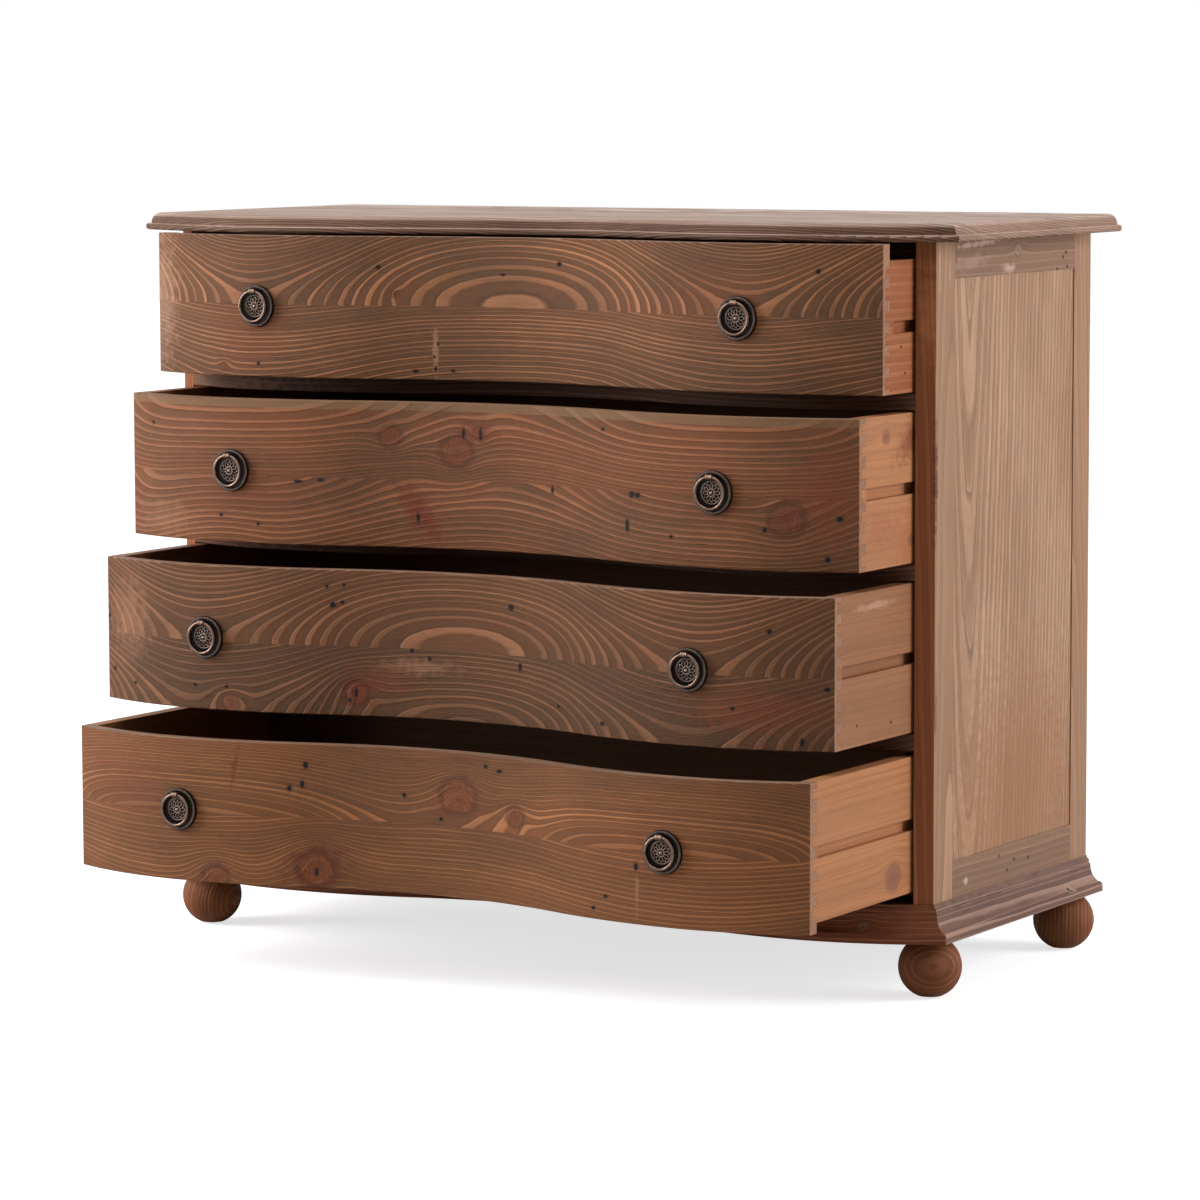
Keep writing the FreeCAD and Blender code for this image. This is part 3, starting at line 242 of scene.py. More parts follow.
MIDDLE = (0, -0.1, 0.45)
LAMPS = {
    "right_softbox": {"place": (3.3, 1.1, 1.35), "size": (1.6, 2.2), "watts": 84},
    "left_softbox": {"place": (-3.1, -2.1, 1.5), "size": (1.4, 2.2), "watts": 130},
    "top_softbox": {"place": (0.3, -1.2, 3.6), "size": (2.4, 1.6), "watts": 34},
}
for name, facts in LAMPS.items():
    softbox(name, aim=MIDDLE, **facts)
bpy.context.scene.view_settings.view_transform = "Standard"

# %% [markdown]
# Pine grows a ring a year: soft pale wood in spring and a thin hard band in late summer. A board is a slice
# through those nested tubes, so its figure depends on where the slice passes the middle of the tree. Here
# the tubes themselves are described, round a line called the pith, and each board simply cuts through them.
# The curved fronts then show their arches and bowls without being told to: arches over the hollow where the
# pith lies behind a front, and arches over the bulges where it lies in front of one. A tree also tapers, so
# its tubes are a little cone-shaped, which draws the long pointed arches of a panel.

# %% Group: growth rings
growth_rings, rings, given, handed = new_group(
    "growth_rings",
    {
        "Along": 0.0, "Across": 0.0, "Up": 0.0, "Rings per metre": 200.0, "Widening": 1.0,
        "Wobble": 0.002, "Taper": 0.0, "Bend": 0.0, "Seed": 0.0,
    },
    ("Ridge", "Slope", "Year tone", "Rim"),
)
REFERENCE_RADIUS = 0.1
SMALLEST_RADIUS = 0.0001
DRIFT_ALONG = 2.6
DRIFT_ACROSS = 9
LATE_WOOD_START = (0.42, 0.66)
BAND_RISE = 0.16
BAND_FALL = (0.93, 1.0)
FAINTEST_BAND = 0.62

drift_place = rings.point(
    rings.add(rings.times(given["Along"], DRIFT_ALONG), given["Seed"]),
    rings.times(given["Across"], DRIFT_ACROSS),
    rings.times(given["Up"], DRIFT_ACROSS),
)
drift = rings.times(rings.take(rings.cloud(drift_place, 1, 4, 0.5), 0.5), given["Wobble"])
radius = rings.add(rings.length(given["Across"], given["Up"]), drift)
radius = rings.add(radius, rings.times(given["Along"], given["Taper"]))
radius = rings.math("MAXIMUM", radius, SMALLEST_RADIUS)
grown = rings.math("POWER", rings.math("DIVIDE", radius, REFERENCE_RADIUS), given["Widening"])
pace = rings.math("DIVIDE", rings.times(given["Rings per metre"], REFERENCE_RADIUS), given["Widening"])
count = rings.add(rings.times(grown, pace), given["Bend"])
year = rings.math("FLOOR", count)
phase = rings.math("FRACT", count)
draw = rings.add(year, given["Seed"])
chance = rings.node("ShaderNodeTexWhiteNoise", {"W": draw}, noise_dimensions="1D")
tone, width = rings.parts(chance.outputs["Color"])[:2]
late = rings.ramp(width, 0, 1, *LATE_WOOD_START)
rise = rings.ramp(phase, late, rings.add(late, BAND_RISE))
fall = rings.ramp(phase, *BAND_FALL, 1, 0)
ridge = rings.times(rings.times(rise, fall), rings.ramp(tone, 0, 1, FAINTEST_BAND, 1.0))
across_band = rings.ramp(phase, late, 0.95, -1, 1, "LINEAR")
rings.feed(handed["Ridge"], ridge)
rings.feed(handed["Slope"], rings.times(ridge, across_band))
rings.feed(handed["Year tone"], tone)
rings.feed(handed["Rim"], rings.ramp(phase, 0, BAND_RISE, 1, 0))
print("group growth_rings:", len(growth_rings.nodes), "nodes")

# %% [markdown]
# Inside the rings run the fibres, long thin tubes. Brushing tears the soft ones out, which leaves hair-fine
# furrows and, where dirt or old resin sits in them, short dark dashes. Noise that is stretched a great deal
# along the grain gives both. The stain also sank in unevenly, so wide patches are warmer than the rest.

# %% Group: wood fibres
wood_fibres, fibres, given, handed = new_group(
    "wood_fibres",
    {"Along": 0.0, "Across": 0.0, "Up": 0.0, "Seed": 0.0},
    ("Hair", "Streak", "Dash", "Patch"),
)
# Each noise: its scale along the grain, its scale across it, a shift that sets it apart, detail, roughness.
FIBRE_NOISES = {
    "Hair": (24, 1100, 3, 3, 0.6),
    "Streak": (5, 130, 11, 4, 0.6),
    "Dash": (40, 800, 29, 2, 0.5),
    "Patch": (3.2, 8, 47, 4, 0.6),
}
DASH_RANGE = (0.66, 0.76)

for name, (along_scale, across_scale, shift, detail, rough) in FIBRE_NOISES.items():
    stretched = fibres.point(
        fibres.add(fibres.times(given["Along"], along_scale), fibres.add(given["Seed"], shift)),
        fibres.times(given["Across"], across_scale),
        fibres.times(given["Up"], across_scale),
    )
    noise = fibres.cloud(stretched, 1, detail, rough)
    fibres.feed(handed[name], fibres.ramp(noise, *DASH_RANGE) if name == "Dash" else noise)
print("group wood_fibres:", len(wood_fibres.nodes), "nodes")

# %% [markdown]
# A branch leaves a knot: the rings part to flow round it, and its own wood is darker, redder and ringed. The
# group gives that swerve as a bend, which is added to the count of rings. One share of it lifts the lines
# into a hill, and the other spreads them apart, so they close round the knot by themselves.

# %% Group: knot
knot_group, knot, given, handed = new_group(
    "knot",
    {
        "Along": 0.0, "Up": 0.0, "Knot along": 0.0, "Knot up": 0.0, "Radius": 0.012, "Push": 3.0,
        "Spread": 2.0,
    },
    ("Bend", "Core", "Heart", "Rim", "Rings"),
)
KNOT_SLANT = 0.88
KNOT_ROUGHNESS = 60
KNOT_RAGGED = 0.16
KNOT_TURNS = 4.3
HILL_FALL = -0.2
PARTING_FALL = -0.42
EULER = 2.718

along = knot.times(knot.take(given["Along"], given["Knot along"]), KNOT_SLANT)
up = knot.take(given["Up"], given["Knot up"])
wobble_place = knot.point(
    knot.times(given["Along"], KNOT_ROUGHNESS), 0, knot.times(given["Up"], KNOT_ROUGHNESS)
)
wobble = knot.cloud(wobble_place, 1, 3, 0.55)
even = knot.math("DIVIDE", knot.length(along, up), given["Radius"])
reach = knot.add(even, knot.ramp(wobble, 0.2, 0.8, -KNOT_RAGGED, KNOT_RAGGED))
hill = knot.math("POWER", EULER, knot.times(knot.times(even, even), HILL_FALL))
steep = knot.math("POWER", EULER, knot.times(knot.times(even, even), PARTING_FALL))
parting = knot.times(knot.times(knot.math("DIVIDE", up, given["Radius"]), steep), given["Spread"])
knot.feed(handed["Bend"], knot.times(knot.add(knot.times(hill, given["Push"]), parting), -1))
knot.feed(handed["Core"], knot.ramp(reach, 0.72, 1.05, 1, 0))
knot.feed(handed["Heart"], knot.ramp(reach, 0.0, 0.55, 1, 0))
knot.feed(handed["Rim"], knot.times(knot.ramp(reach, 0.75, 1.0), knot.ramp(reach, 1.0, 1.45, 1, 0)))
turns = knot.math("FRACT", knot.times(reach, KNOT_TURNS))
knot.feed(handed["Rings"], knot.times(knot.ramp(turns, 0.35, 0.8), knot.ramp(turns, 0.85, 1.0, 1, 0)))
print("group knot:", len(knot_group.nodes), "nodes")

# %% [markdown]
# The boards had a life before this chest, so they carry nail holes, with a dark iron stain round each one.
# Wider smudges come from resin, damp and old fixings, and the same soft patches also lay painted light: a
# painted sheen on the fronts' left ends and painted shade where drawer sides enter the case. One group serves
# them all: it measures how far a place is from the mark's middle, with a ragged edge, and gives the pit and
# the stain that fades away from it.

# %% Group: mark
mark_group, mark, given, handed = new_group(
    "mark",
    {
        "Along": 0.0, "Up": 0.0, "Mark along": 0.0, "Mark up": 0.0, "Half width": 0.0015,
        "Half height": 0.0015, "Lean": 0.0, "Fineness": 700.0,
    },
    ("Pit", "Stain", "Smudge_and_painted_light"),
)
MARK_RAGGED = 0.45

up = mark.take(given["Up"], given["Mark up"])
along = mark.take(mark.take(given["Along"], given["Mark along"]), mark.times(up, given["Lean"]))
along = mark.math("DIVIDE", along, given["Half width"])
up = mark.math("DIVIDE", up, given["Half height"])
ragged_place = mark.point(
    mark.times(given["Along"], given["Fineness"]), 0, mark.times(given["Up"], given["Fineness"])
)
ragged = mark.cloud(ragged_place, 1, 3, 0.6)
reach = mark.add(mark.length(along, up), mark.ramp(ragged, 0.2, 0.8, -MARK_RAGGED, MARK_RAGGED))
mark.feed(handed["Pit"], mark.ramp(reach, 0.8, 1.2, 1, 0))
mark.feed(handed["Stain"], mark.ramp(reach, 1.0, 2.6, 1, 0))
mark.feed(handed["Smudge_and_painted_light"], mark.ramp(reach, 0.15, 1.1, 1, 0))
print("group mark:", len(mark_group.nodes), "nodes")

# %% [markdown]
# Hands, dusters and years rub the stain off the arrises. Blender's Bevel node rounds the normal near an edge;
# how far that normal leans away from the true one says how near an edge is, and noise breaks the line up.

# %% Group: edge wear
edge_wear, wear, given, handed = new_group(
    "edge_wear",
    {"Radius": 0.0015, "Point": (0, 0, 0)},
    ("Wear", "Normal"),
)
LEAN_RANGE = (0.995, 0.85)
BREAK_RANGE = (0.30, 0.62)

soft = wear.node("ShaderNodeBevel", {"Radius": given["Radius"]}, samples=4)
true_normal = wear.node("ShaderNodeNewGeometry").outputs["Normal"]
leaning = wear.node("ShaderNodeVectorMath", (soft.outputs[0], true_normal), operation="DOT_PRODUCT")
near_edge = wear.ramp(leaning.outputs["Value"], *LEAN_RANGE)
broken = wear.cloud(given["Point"], 60, 4, 0.6)
wear.feed(handed["Wear"], wear.times(near_edge, wear.ramp(broken, *BREAK_RANGE)))
wear.feed(handed["Normal"], soft.outputs[0])
print("group edge_wear:", len(edge_wear.nodes), "nodes")

# %% [markdown]
# One recipe serves every board. It turns the place on the board so that its first number runs along the
# grain, asks the groups for rings, fibres, knots and marks, and mixes three stain colours from them: the
# grey brown that soaked into the soft wood, the warm brown between, and the pale orange of the hard rings,
# which took little stain. The same masks raise the rings and sink the furrows. A board's faces can differ,
# so other tones can be given by the way a face looks: sawn ends took the stain another way, while the paler
# tones of up-facing tops are a painted highlight and sheen, and the darker tones of the posts' front faces
# are painted shade.

# %% The wood recipe
@dataclass
class Board:
    """How one board was sawn: the pith's place across the grain, and the pace of its rings."""

    across: float
    up: float
    rings_per_metre: float
    widening: float
    wobble: float
    seed: float
    taper: float = 0.0
    shift: float = 0.0

    def pace_at(self, up, face):
        """How many rings a metre of face crosses at a height, and whether they count upwards."""
        rise = up - self.up
        radius = math.hypot(self.across - face, rise)
        pace = self.rings_per_metre * (radius / REFERENCE_RADIUS) ** (self.widening - 1)
        return pace * abs(rise) / radius, 1 if rise > 0 else -1


def stain_tones(soft, middle, hard, knot=(132, 88, 66), heart=(84, 54, 42), rim=(92, 62, 48)):
    """Name the colours of one stain."""
    names = ("soft", "middle", "hard", "knot", "heart", "rim")
    return {name: colour(*value) for name, value in zip(names, (soft, middle, hard, knot, heart, rim))}


AXES = {"X": (0, 1, 2), "Y": (1, 0, 2), "Z": (2, 0, 1)}
RELIEF = 0.0012
GLOSS = 0.2
KNOT_KEYS = ("Bend", "Core", "Heart", "Rim", "Rings")
KNOT_INPUTS = ("Knot along", "Knot up", "Radius", "Push", "Spread")
MARK_INPUTS = ("Mark along", "Mark up", "Half width", "Half height", "Lean")
SMUDGE_AND_LIGHT_FINENESS = 90.0
FACING_RANGE = (0.55, 0.8)
HAIR_DARKENING = 0.13
HAIR_LIGHTENING = 0.07
DASH_DARKENING = 0.3
YEAR_SHADE = (0.92, 1.06)
SLOPE_SHADE = (0.88, 1.12)
RING_SHARE = 0.7
HEART_SHARE = 0.5
CORE_SHARE = 0.85
RIM_SHARE = 0.6
IRON_STAIN_SHARE = 0.35
PIT_BLACK = colour(10, 8, 7)
RIDGE_HEIGHT = 0.5
HAIR_HEIGHT = 0.24
DASH_DEPTH = 0.2
PIT_DEPTH = 1.5


def dress(node, material):
    """Give a CAD node its finish."""
    mesh = NODES[node].data
    mesh.materials.clear()
    mesh.materials.append(material)


def dress_wood(
    node, grain, boards, tones, joint=None, knots=(), nails=(), smudges_and_painted_light=(), faces=(), strip=None,
    relief=1.0, shine=0.5, worn=0.5, fuzz=1.0, line=0.86, uneven=(0.66, 0.94), swells=(),
):
    """Give a CAD node its own wood. Of two boards, the first lies above the joint and the second below it.

    A knot or swell is (along, up, radius, push, spread), a nail hole (along, up, half width, half height),
    a smudge (along, up, half width, half height, lean, share, colour), which also lays patches of painted
    sheen and painted shade, and a strip (colour, share, height).
    A face is (axis, sign, tones): the tones hold where the surface looks along that way of the axis, or
    along both ways for sign 0.
    """
    material, recipe = new_material(f"{node}_pine")
    coordinates = recipe.node("ShaderNodeTexCoord").outputs
    place = coordinates["Object"]
    numbers = recipe.parts(place)
    along, across, up = (numbers[index] for index in AXES[grain])
    below = recipe.math("LESS_THAN", up, joint) if joint is not None else 0.0

    def choose(fact):
        values = [getattr(board, fact) for board in boards]
        return recipe.either(below, *values) if len(values) > 1 else values[0]

    tones = dict(tones)
    facing = recipe.parts(coordinates["Normal"])
    for axis, sign, others in faces:
        look = recipe.math("ABSOLUTE", facing[axis]) if sign == 0 else recipe.times(facing[axis], sign)
        share = recipe.ramp(look, *FACING_RANGE)
        for key in ("soft", "middle", "hard"):
            tones[key] = recipe.blend(share, tones[key], others[key])

    found = {key: 0.0 for key in KNOT_KEYS}
    for facts in knots:
        one = recipe.place(knot_group, Along=along, Up=up, **dict(zip(KNOT_INPUTS, facts)))
        for key in KNOT_KEYS:
            found[key] = recipe.math("ADD" if key == "Bend" else "MAXIMUM", one[key], found[key])
    for facts in swells:
        one = recipe.place(knot_group, Along=along, Up=up, **dict(zip(KNOT_INPUTS, facts)))
        found["Bend"] = recipe.add(one["Bend"], found["Bend"])
    pit = 0.0
    stain = 0.0
    for facts in nails:
        one = recipe.place(mark_group, Along=along, Up=up, **dict(zip(MARK_INPUTS, facts)))
        pit = recipe.math("MAXIMUM", one["Pit"], pit)
        stain = recipe.math("MAXIMUM", one["Stain"], stain)

    seed = choose("seed")
    grown = recipe.place(growth_rings, **{
        "Along": along,
        "Across": recipe.take(across, choose("across")),
        "Up": recipe.take(up, choose("up")),
        "Rings per metre": choose("rings_per_metre"),
        "Widening": choose("widening"),
        "Wobble": choose("wobble"),
        "Taper": choose("taper"),
        "Bend": recipe.add(found["Bend"], choose("shift")),
        "Seed": seed,
    })
    hairs = recipe.place(wood_fibres, Along=along, Across=across, Up=up, Seed=seed)

    body = recipe.blend(recipe.ramp(hairs["Patch"], 0.38, 0.62), tones["soft"], tones["middle"])
    body = recipe.blend(recipe.ramp(hairs["Streak"], 0.35, 0.75, 0, 0.5), body, tones["middle"])
    uptake = recipe.ramp(hairs["Patch"], 0.35, 0.62, *uneven)
    shaded = recipe.blend(recipe.times(grown["Ridge"], uptake), body, tones["hard"])
    darker = recipe.ramp(hairs["Hair"], 0.3, 0.7, 1 - HAIR_DARKENING * fuzz, 1 + HAIR_LIGHTENING * fuzz)
    for facts in (
        (hairs["Dash"], 0, 1, 1, 1 - DASH_DARKENING * fuzz),
        (grown["Year tone"], 0, 1, *YEAR_SHADE),
        (grown["Rim"], 0, 1, 1, line),
        (grown["Slope"], -1, 1, *SLOPE_SHADE, "LINEAR"),
    ):
        darker = recipe.times(darker, recipe.ramp(*facts))
    shade = recipe.node("ShaderNodeCombineColor", (darker, darker, darker)).outputs[0]
    shaded = recipe.blend(1.0, shaded, shade, "MULTIPLY")
    if strip:
        strip_tint, strip_share, strip_height = strip
        above = recipe.math("GREATER_THAN", up, strip_height)
        shaded = recipe.blend(recipe.times(above, strip_share), shaded, strip_tint)
    for *facts, share, tint in smudges_and_painted_light:
        one = recipe.place(
            mark_group, Along=along, Up=up, Fineness=SMUDGE_AND_LIGHT_FINENESS, **dict(zip(MARK_INPUTS, facts))
        )
        shaded = recipe.blend(recipe.times(one["Smudge_and_painted_light"], share), shaded, tint)
    if knots:
        ringed = recipe.blend(recipe.times(found["Rings"], RING_SHARE), tones["knot"], tones["rim"])
        ringed = recipe.blend(recipe.times(found["Heart"], HEART_SHARE), ringed, tones["heart"])
        shaded = recipe.blend(recipe.times(found["Core"], CORE_SHARE), shaded, ringed)
        shaded = recipe.blend(recipe.times(found["Rim"], RIM_SHARE), shaded, tones["rim"])
    if nails:
        shaded = recipe.blend(recipe.times(stain, IRON_STAIN_SHARE), shaded, tones["rim"])
        shaded = recipe.blend(pit, shaded, PIT_BLACK)
    normal = None
    if worn:
        edges = recipe.place(edge_wear, Point=place)
        shaded = recipe.blend(recipe.times(edges["Wear"], worn), shaded, tones.get("rubbed", tones["hard"]))
        normal = edges["Normal"]

    height = recipe.times(grown["Ridge"], RIDGE_HEIGHT)
    height = recipe.add(height, recipe.ramp(hairs["Hair"], 0.2, 0.8, 0, HAIR_HEIGHT * fuzz))
    height = recipe.take(height, recipe.times(hairs["Dash"], DASH_DEPTH))
    if nails:
        height = recipe.take(height, recipe.times(pit, PIT_DEPTH))
    bump = recipe.node("ShaderNodeBump", {"Strength": relief, "Distance": RELIEF, "Height": height})
    if normal:
        recipe.feed(bump.inputs["Normal"], normal)
    recipe.finish(recipe.node("ShaderNodeBsdfPrincipled", {
        "Base Color": shaded,
        "Roughness": recipe.ramp(grown["Ridge"], 0, 1, shine + 0.12, shine - 0.04),
        "Specular IOR Level": GLOSS,
        "Normal": bump.outputs[0],
    }))
    dress(node, material)


PARTING_SHARE = 0.85


def knots_on(board, knots, face):
    """Add to each knot how far it spreads the lines, so that they part by about its own width."""
    finished = []
    for knot_along, knot_up, radius, push in knots:
        pace, sign = board.pace_at(knot_up, face)
        finished.append((knot_along, knot_up, radius, push, sign * pace * radius * PARTING_SHARE))
    return finished


print("wood recipe ready")

# %% [markdown]
# The drawer fronts are the show pieces. Each was glued up from two thick planks and then sawn and planed to
# the serpentine, with the pith's line running level behind the face or, for a plank that was turned round,
# in front of it. Where the surface comes close to the pith the rings open into a wide eye or an arch: in the
# hollow if the pith lies behind, over the bulges if it lies in front. Further off they close up and sag.

# %% Finish the drawer fronts
FRONTS = {
    1: {"low": 0.7065, "high": 0.8775, "opening": 0.073},
    2: {"low": 0.5100, "high": 0.6835, "opening": 0.130},
    3: {"low": 0.3135, "high": 0.4870, "opening": 0.188},
    4: {"low": 0.1145, "high": 0.2855, "opening": 0.246},
}
HOLLOW_PLANE = -0.2015
FRONT_HEART = (92, 48, 30)
FRONT_RIM = (82, 43, 25)
FRONT_TONES = {
    1: stain_tones((100, 68, 46), (115, 75, 48), (178, 118, 78), (134, 78, 45), FRONT_HEART, FRONT_RIM),
    2: stain_tones((100, 67, 43), (122, 73, 44), (162, 102, 66), (140, 76, 46), FRONT_HEART, FRONT_RIM),
    3: stain_tones((88, 60, 38), (105, 66, 40), (148, 98, 65), (134, 66, 38), FRONT_HEART, FRONT_RIM),
    4: stain_tones((108, 71, 43), (128, 78, 45), (174, 112, 68), (152, 86, 48), FRONT_HEART, FRONT_RIM),
}
END_TONES = stain_tones((160, 116, 90), (168, 123, 96), (180, 136, 108))
# Painted highlight: the fronts' up-facing top edges are painted paler where light catches them.
TOP_EDGE_HIGHLIGHT_TONES = stain_tones((140, 106, 86), (152, 116, 94), (182, 148, 124))
REDDISH = colour(110, 46, 26)
RUST = colour(132, 66, 42)
# The pale colour below paints thin pale scuffs and, in broad patches at the fronts' left ends, a painted
# sheen.
PALE_SCUFF_AND_SHEEN = colour(172, 124, 96)

FRONT_WOOD = {
    1: {
        "joint": 83,
        "boards": [(66, 83, 222, 3.0, 0.005, 0.69), (30, 238, 165, 1.8, 0.012, 0)],
        "knots": [(-382, 160, 5, 0.6), (-153, 69, 4, 0.3)],
        "nails": [
            (-173, 37, 2.6, 2.2), (65, 30, 2.8, 2.4), (431, 31, 2.6, 2.4),
            (-330, 155, 2.0, 2.0), (-129, 161, 3.2, 1.8), (-15, 44, 3.0, 1.2), (-104, 158, 1.6, 3.0),
            (-101, 128, 1.2, 2.0), (-106, 143, 1.2, 1.6), (-82, 160, 2.4, 1.4),
        ],
        "smudges_and_painted_light": [
            # The broad patch at the left end (-495) is a painted sheen.
            (-104, 140, 5, 34, 0, 0.75, PALE_SCUFF_AND_SHEEN), (-495, 80, 40, 110, 0, 0.4, colour(190, 152, 128)),
            (-345, 110, 60, 60, 0, 0.35, RUST), (300, 60, 90, 50, 0, 0.25, RUST),
        ],
    },
    2: {
        "joint": 92,
        "boards": [(-60, -11, 240, 2.0, 0.008, 0), (-84, 56, 165, 1.3, 0.012, 0)],
        "strip": (colour(134, 104, 74), 0.62, 10),
        "swells": [(-512, 172, 42, 6.0), (-258, 176, 28, 1.6)],
        "knots": [(-130, 41, 12, 1.5), (-45, 57, 18, 2.0), (422, 114, 18, 0.8), (-14, 34, 7, 0.8)],
        "nails": [
            (-242, 97, 4.5, 1.8), (-213, 95, 3.6, 1.8), (-347, 141, 2.2, 1.8), (-295, 150, 2.0, 1.8),
            (-459, 34, 2.0, 2.0), (91, 97, 1.8, 3.6), (217, 95, 3.4, 3.0), (226, 95, 3.0, 2.6),
            (210, 131, 2.4, 6.0), (275, 140, 2.2, 1.8), (397, 127, 2.4, 2.4), (481, 113, 3.4, 2.6),
            (468, 159, 2.4, 3.0), (171, 22, 2.2, 1.8), (-95, 138, 1.8, 5.5), (-35, 36, 1.8, 5.0),
            (-12, 36, 1.8, 6.0),
        ],
        "smudges_and_painted_light": [
            (-92, 132, 26, 44, -0.6, 0.75, REDDISH), (-20, 34, 40, 18, 0.3, 0.5, REDDISH),
            # The pale patch on the left bulge (-440) is a painted sheen.
            (470, 90, 50, 90, 0, 0.5, RUST), (-440, 150, 60, 30, 0, 0.3, PALE_SCUFF_AND_SHEEN),
            (-300, 100, 120, 60, 0, 0.2, RUST),
        ],
    },
    3: {
        "joint": 91,
        "boards": [(56.4, 91, 220, 2.0, 0.004, -0.50), (40, 180, 200, 1.4, 0.010, 0)],
        "knots": [(-140, 146, 13, 1.8), (-298, 164, 10, 1.6)],
        "nails": [
            (-167, 42, 3.0, 3.0), (-156, 39, 2.0, 2.0), (-154, 18, 1.8, 1.8), (-174, 20, 1.8, 1.8),
            (67, 35, 3.2, 3.0), (431, 39, 2.6, 2.4), (80, 104, 2.2, 4.0), (-70, 93, 2.4, 2.0),
            (-47, 102, 2.0, 2.2), (-148, 155, 2.2, 2.0), (-140, 146, 1.8, 5.0), (-347, 145, 2.2, 1.6),
            (-303, 145, 2.0, 1.6), (139, 145, 2.2, 1.6), (388, 128, 2.2, 1.8), (493, 103, 3.0, 2.4),
            (467, 163, 2.0, 4.0), (-487, 136, 2.4, 2.4), (-446, 150, 2.0, 1.6), (-497, 72, 1.8, 2.4),
            (210, 158, 3.2, 2.0),
        ],
        "smudges_and_painted_light": [
            (-140, 142, 34, 30, 0, 0.7, REDDISH), (-60, 112, 60, 12, 0, 0.45, PALE_SCUFF_AND_SHEEN),
            # The pale patch at the left end (-455) is a painted sheen.
            (-455, 70, 45, 60, 0, 0.4, PALE_SCUFF_AND_SHEEN), (420, 130, 110, 34, 0, 0.5, RUST),
            (-100, 128, 46, 22, -0.5, 0.4, RUST),
        ],
    },
    4: {
        "joint": 88,
        "boards": [(-60, 100, 300, 1.8, 0.008, 0), (30, 330, 190, 1.0, 0.012, 0)],
        "knots": [(27, 52, 21, 3.5), (111, 68, 11, 1.6), (-157, 148, 20, 3.4), (-283, 166, 15, 2.4)],
        "nails": [
            (-169, 25, 2.6, 3.6), (-188, 53, 2.2, 3.2), (-173, 48, 2.2, 3.8),
            (67, 13, 2.2, 2.2), (87, 17, 3.4, 1.8), (-47, 55, 2.4, 2.2), (-157, 152, 1.8, 4.0),
            (3, 80, 2.2, 1.8), (253, 143, 2.8, 1.8), (235, 158, 2.4, 2.0), (296, 105, 2.4, 4.0),
        ],
        "smudges_and_painted_light": [
            (-157, 146, 44, 34, 0, 0.7, REDDISH), (-256, 30, 4, 34, 0.2, 0.7, REDDISH),
            (297, 134, 3.5, 34, 0, 0.55, PALE_SCUFF_AND_SHEEN), (30, 60, 60, 30, 0, 0.35, RUST),
            (-420, 60, 90, 60, 0, 0.4, RUST),
        ],
    },
}


FRONT_SEED = 7.3
BOARD_SEED = 3.1


def dress_front(number):
    """Give a front its wood. Its facts count in mm, downwards from the front's top edge.

    A front's board is (depth behind the hollow's face, down, rings per metre, widening, wobble, shift).
    """
    wood = FRONT_WOOD[number]
    face = HOLLOW_PLANE - FRONTS[number]["opening"]
    top = FRONTS[number]["high"]

    def placed(x, down, *lengths):
        return (x * MM, top - down * MM, *(length * MM for length in lengths))

    boards = []
    for index, (depth, down, *facts, shift) in enumerate(wood["boards"]):
        seed = number * FRONT_SEED + index * BOARD_SEED
        boards.append(Board(face + depth * MM, top - down * MM, *facts, seed, shift=shift))
    knots = []
    for *facts, push in wood["knots"]:
        board = boards[0] if facts[1] < wood["joint"] else boards[1]
        knots += knots_on(board, [(*placed(*facts), push)], face)
    strip = None
    if "strip" in wood:
        tint, share, down = wood["strip"]
        strip = (tint, share, top - down * MM)
    dress_wood(
        f"drawer_{number}_front", "X", boards, FRONT_TONES[number], top - wood["joint"] * MM, knots,
        nails=[placed(*facts) for facts in wood["nails"]],
        smudges_and_painted_light=[(*placed(*facts[:4]), *facts[4:]) for facts in wood["smudges_and_painted_light"]],
        swells=[(*placed(*facts), push, 0.0) for *facts, push in wood.get("swells", ())],
        faces=[(0, 0, END_TONES), (2, 1, TOP_EDGE_HIGHLIGHT_TONES)], strip=strip, fuzz=0.9, relief=1.4,
        uneven=(0.45, 0.95), line=0.8,
    )


for number in FRONTS:
    dress_front(number)
print("fronts finished:", len(FRONTS))

# %% [markdown]
# The case's sides are frames of brushed pine round a flush panel: posts and panel have upright grain, and
# the rails between them run from front to back. They took a lighter stain than the fronts.

# %% Finish the case
BOX_KNOT = ((140, 92, 74), (110, 68, 54), (120, 78, 62))
POST_TONES = stain_tones((154, 117, 91), (159, 121, 95), (168, 130, 102))
# Painted shade: the posts' front faces are painted darker and redder than their sides, for the lesser light
# they get.
POST_FRONT_SHADE_TONES = stain_tones((126, 71, 38), (132, 76, 41), (142, 86, 49))
SIDE_TONES = stain_tones((190, 152, 124), (178, 139, 111), (144, 106, 79))
RAIL_TONES = stain_tones(
    (128, 97, 78), (133, 101, 81), (140, 107, 85), (150, 124, 112), (60, 42, 36), (112, 86, 76)
)
# Painted shade: the rails, dividers, base and back of the case are painted dark for the shade they sit in.
CASE_SHADE_TONES = stain_tones((62, 35, 22), (78, 46, 28), (110, 68, 43))
TOP_TONES = stain_tones((80, 54, 39), (106, 76, 57), (156, 117, 92))
TOP_END_TONES = stain_tones((138, 105, 87), (148, 115, 96), (174, 141, 121))
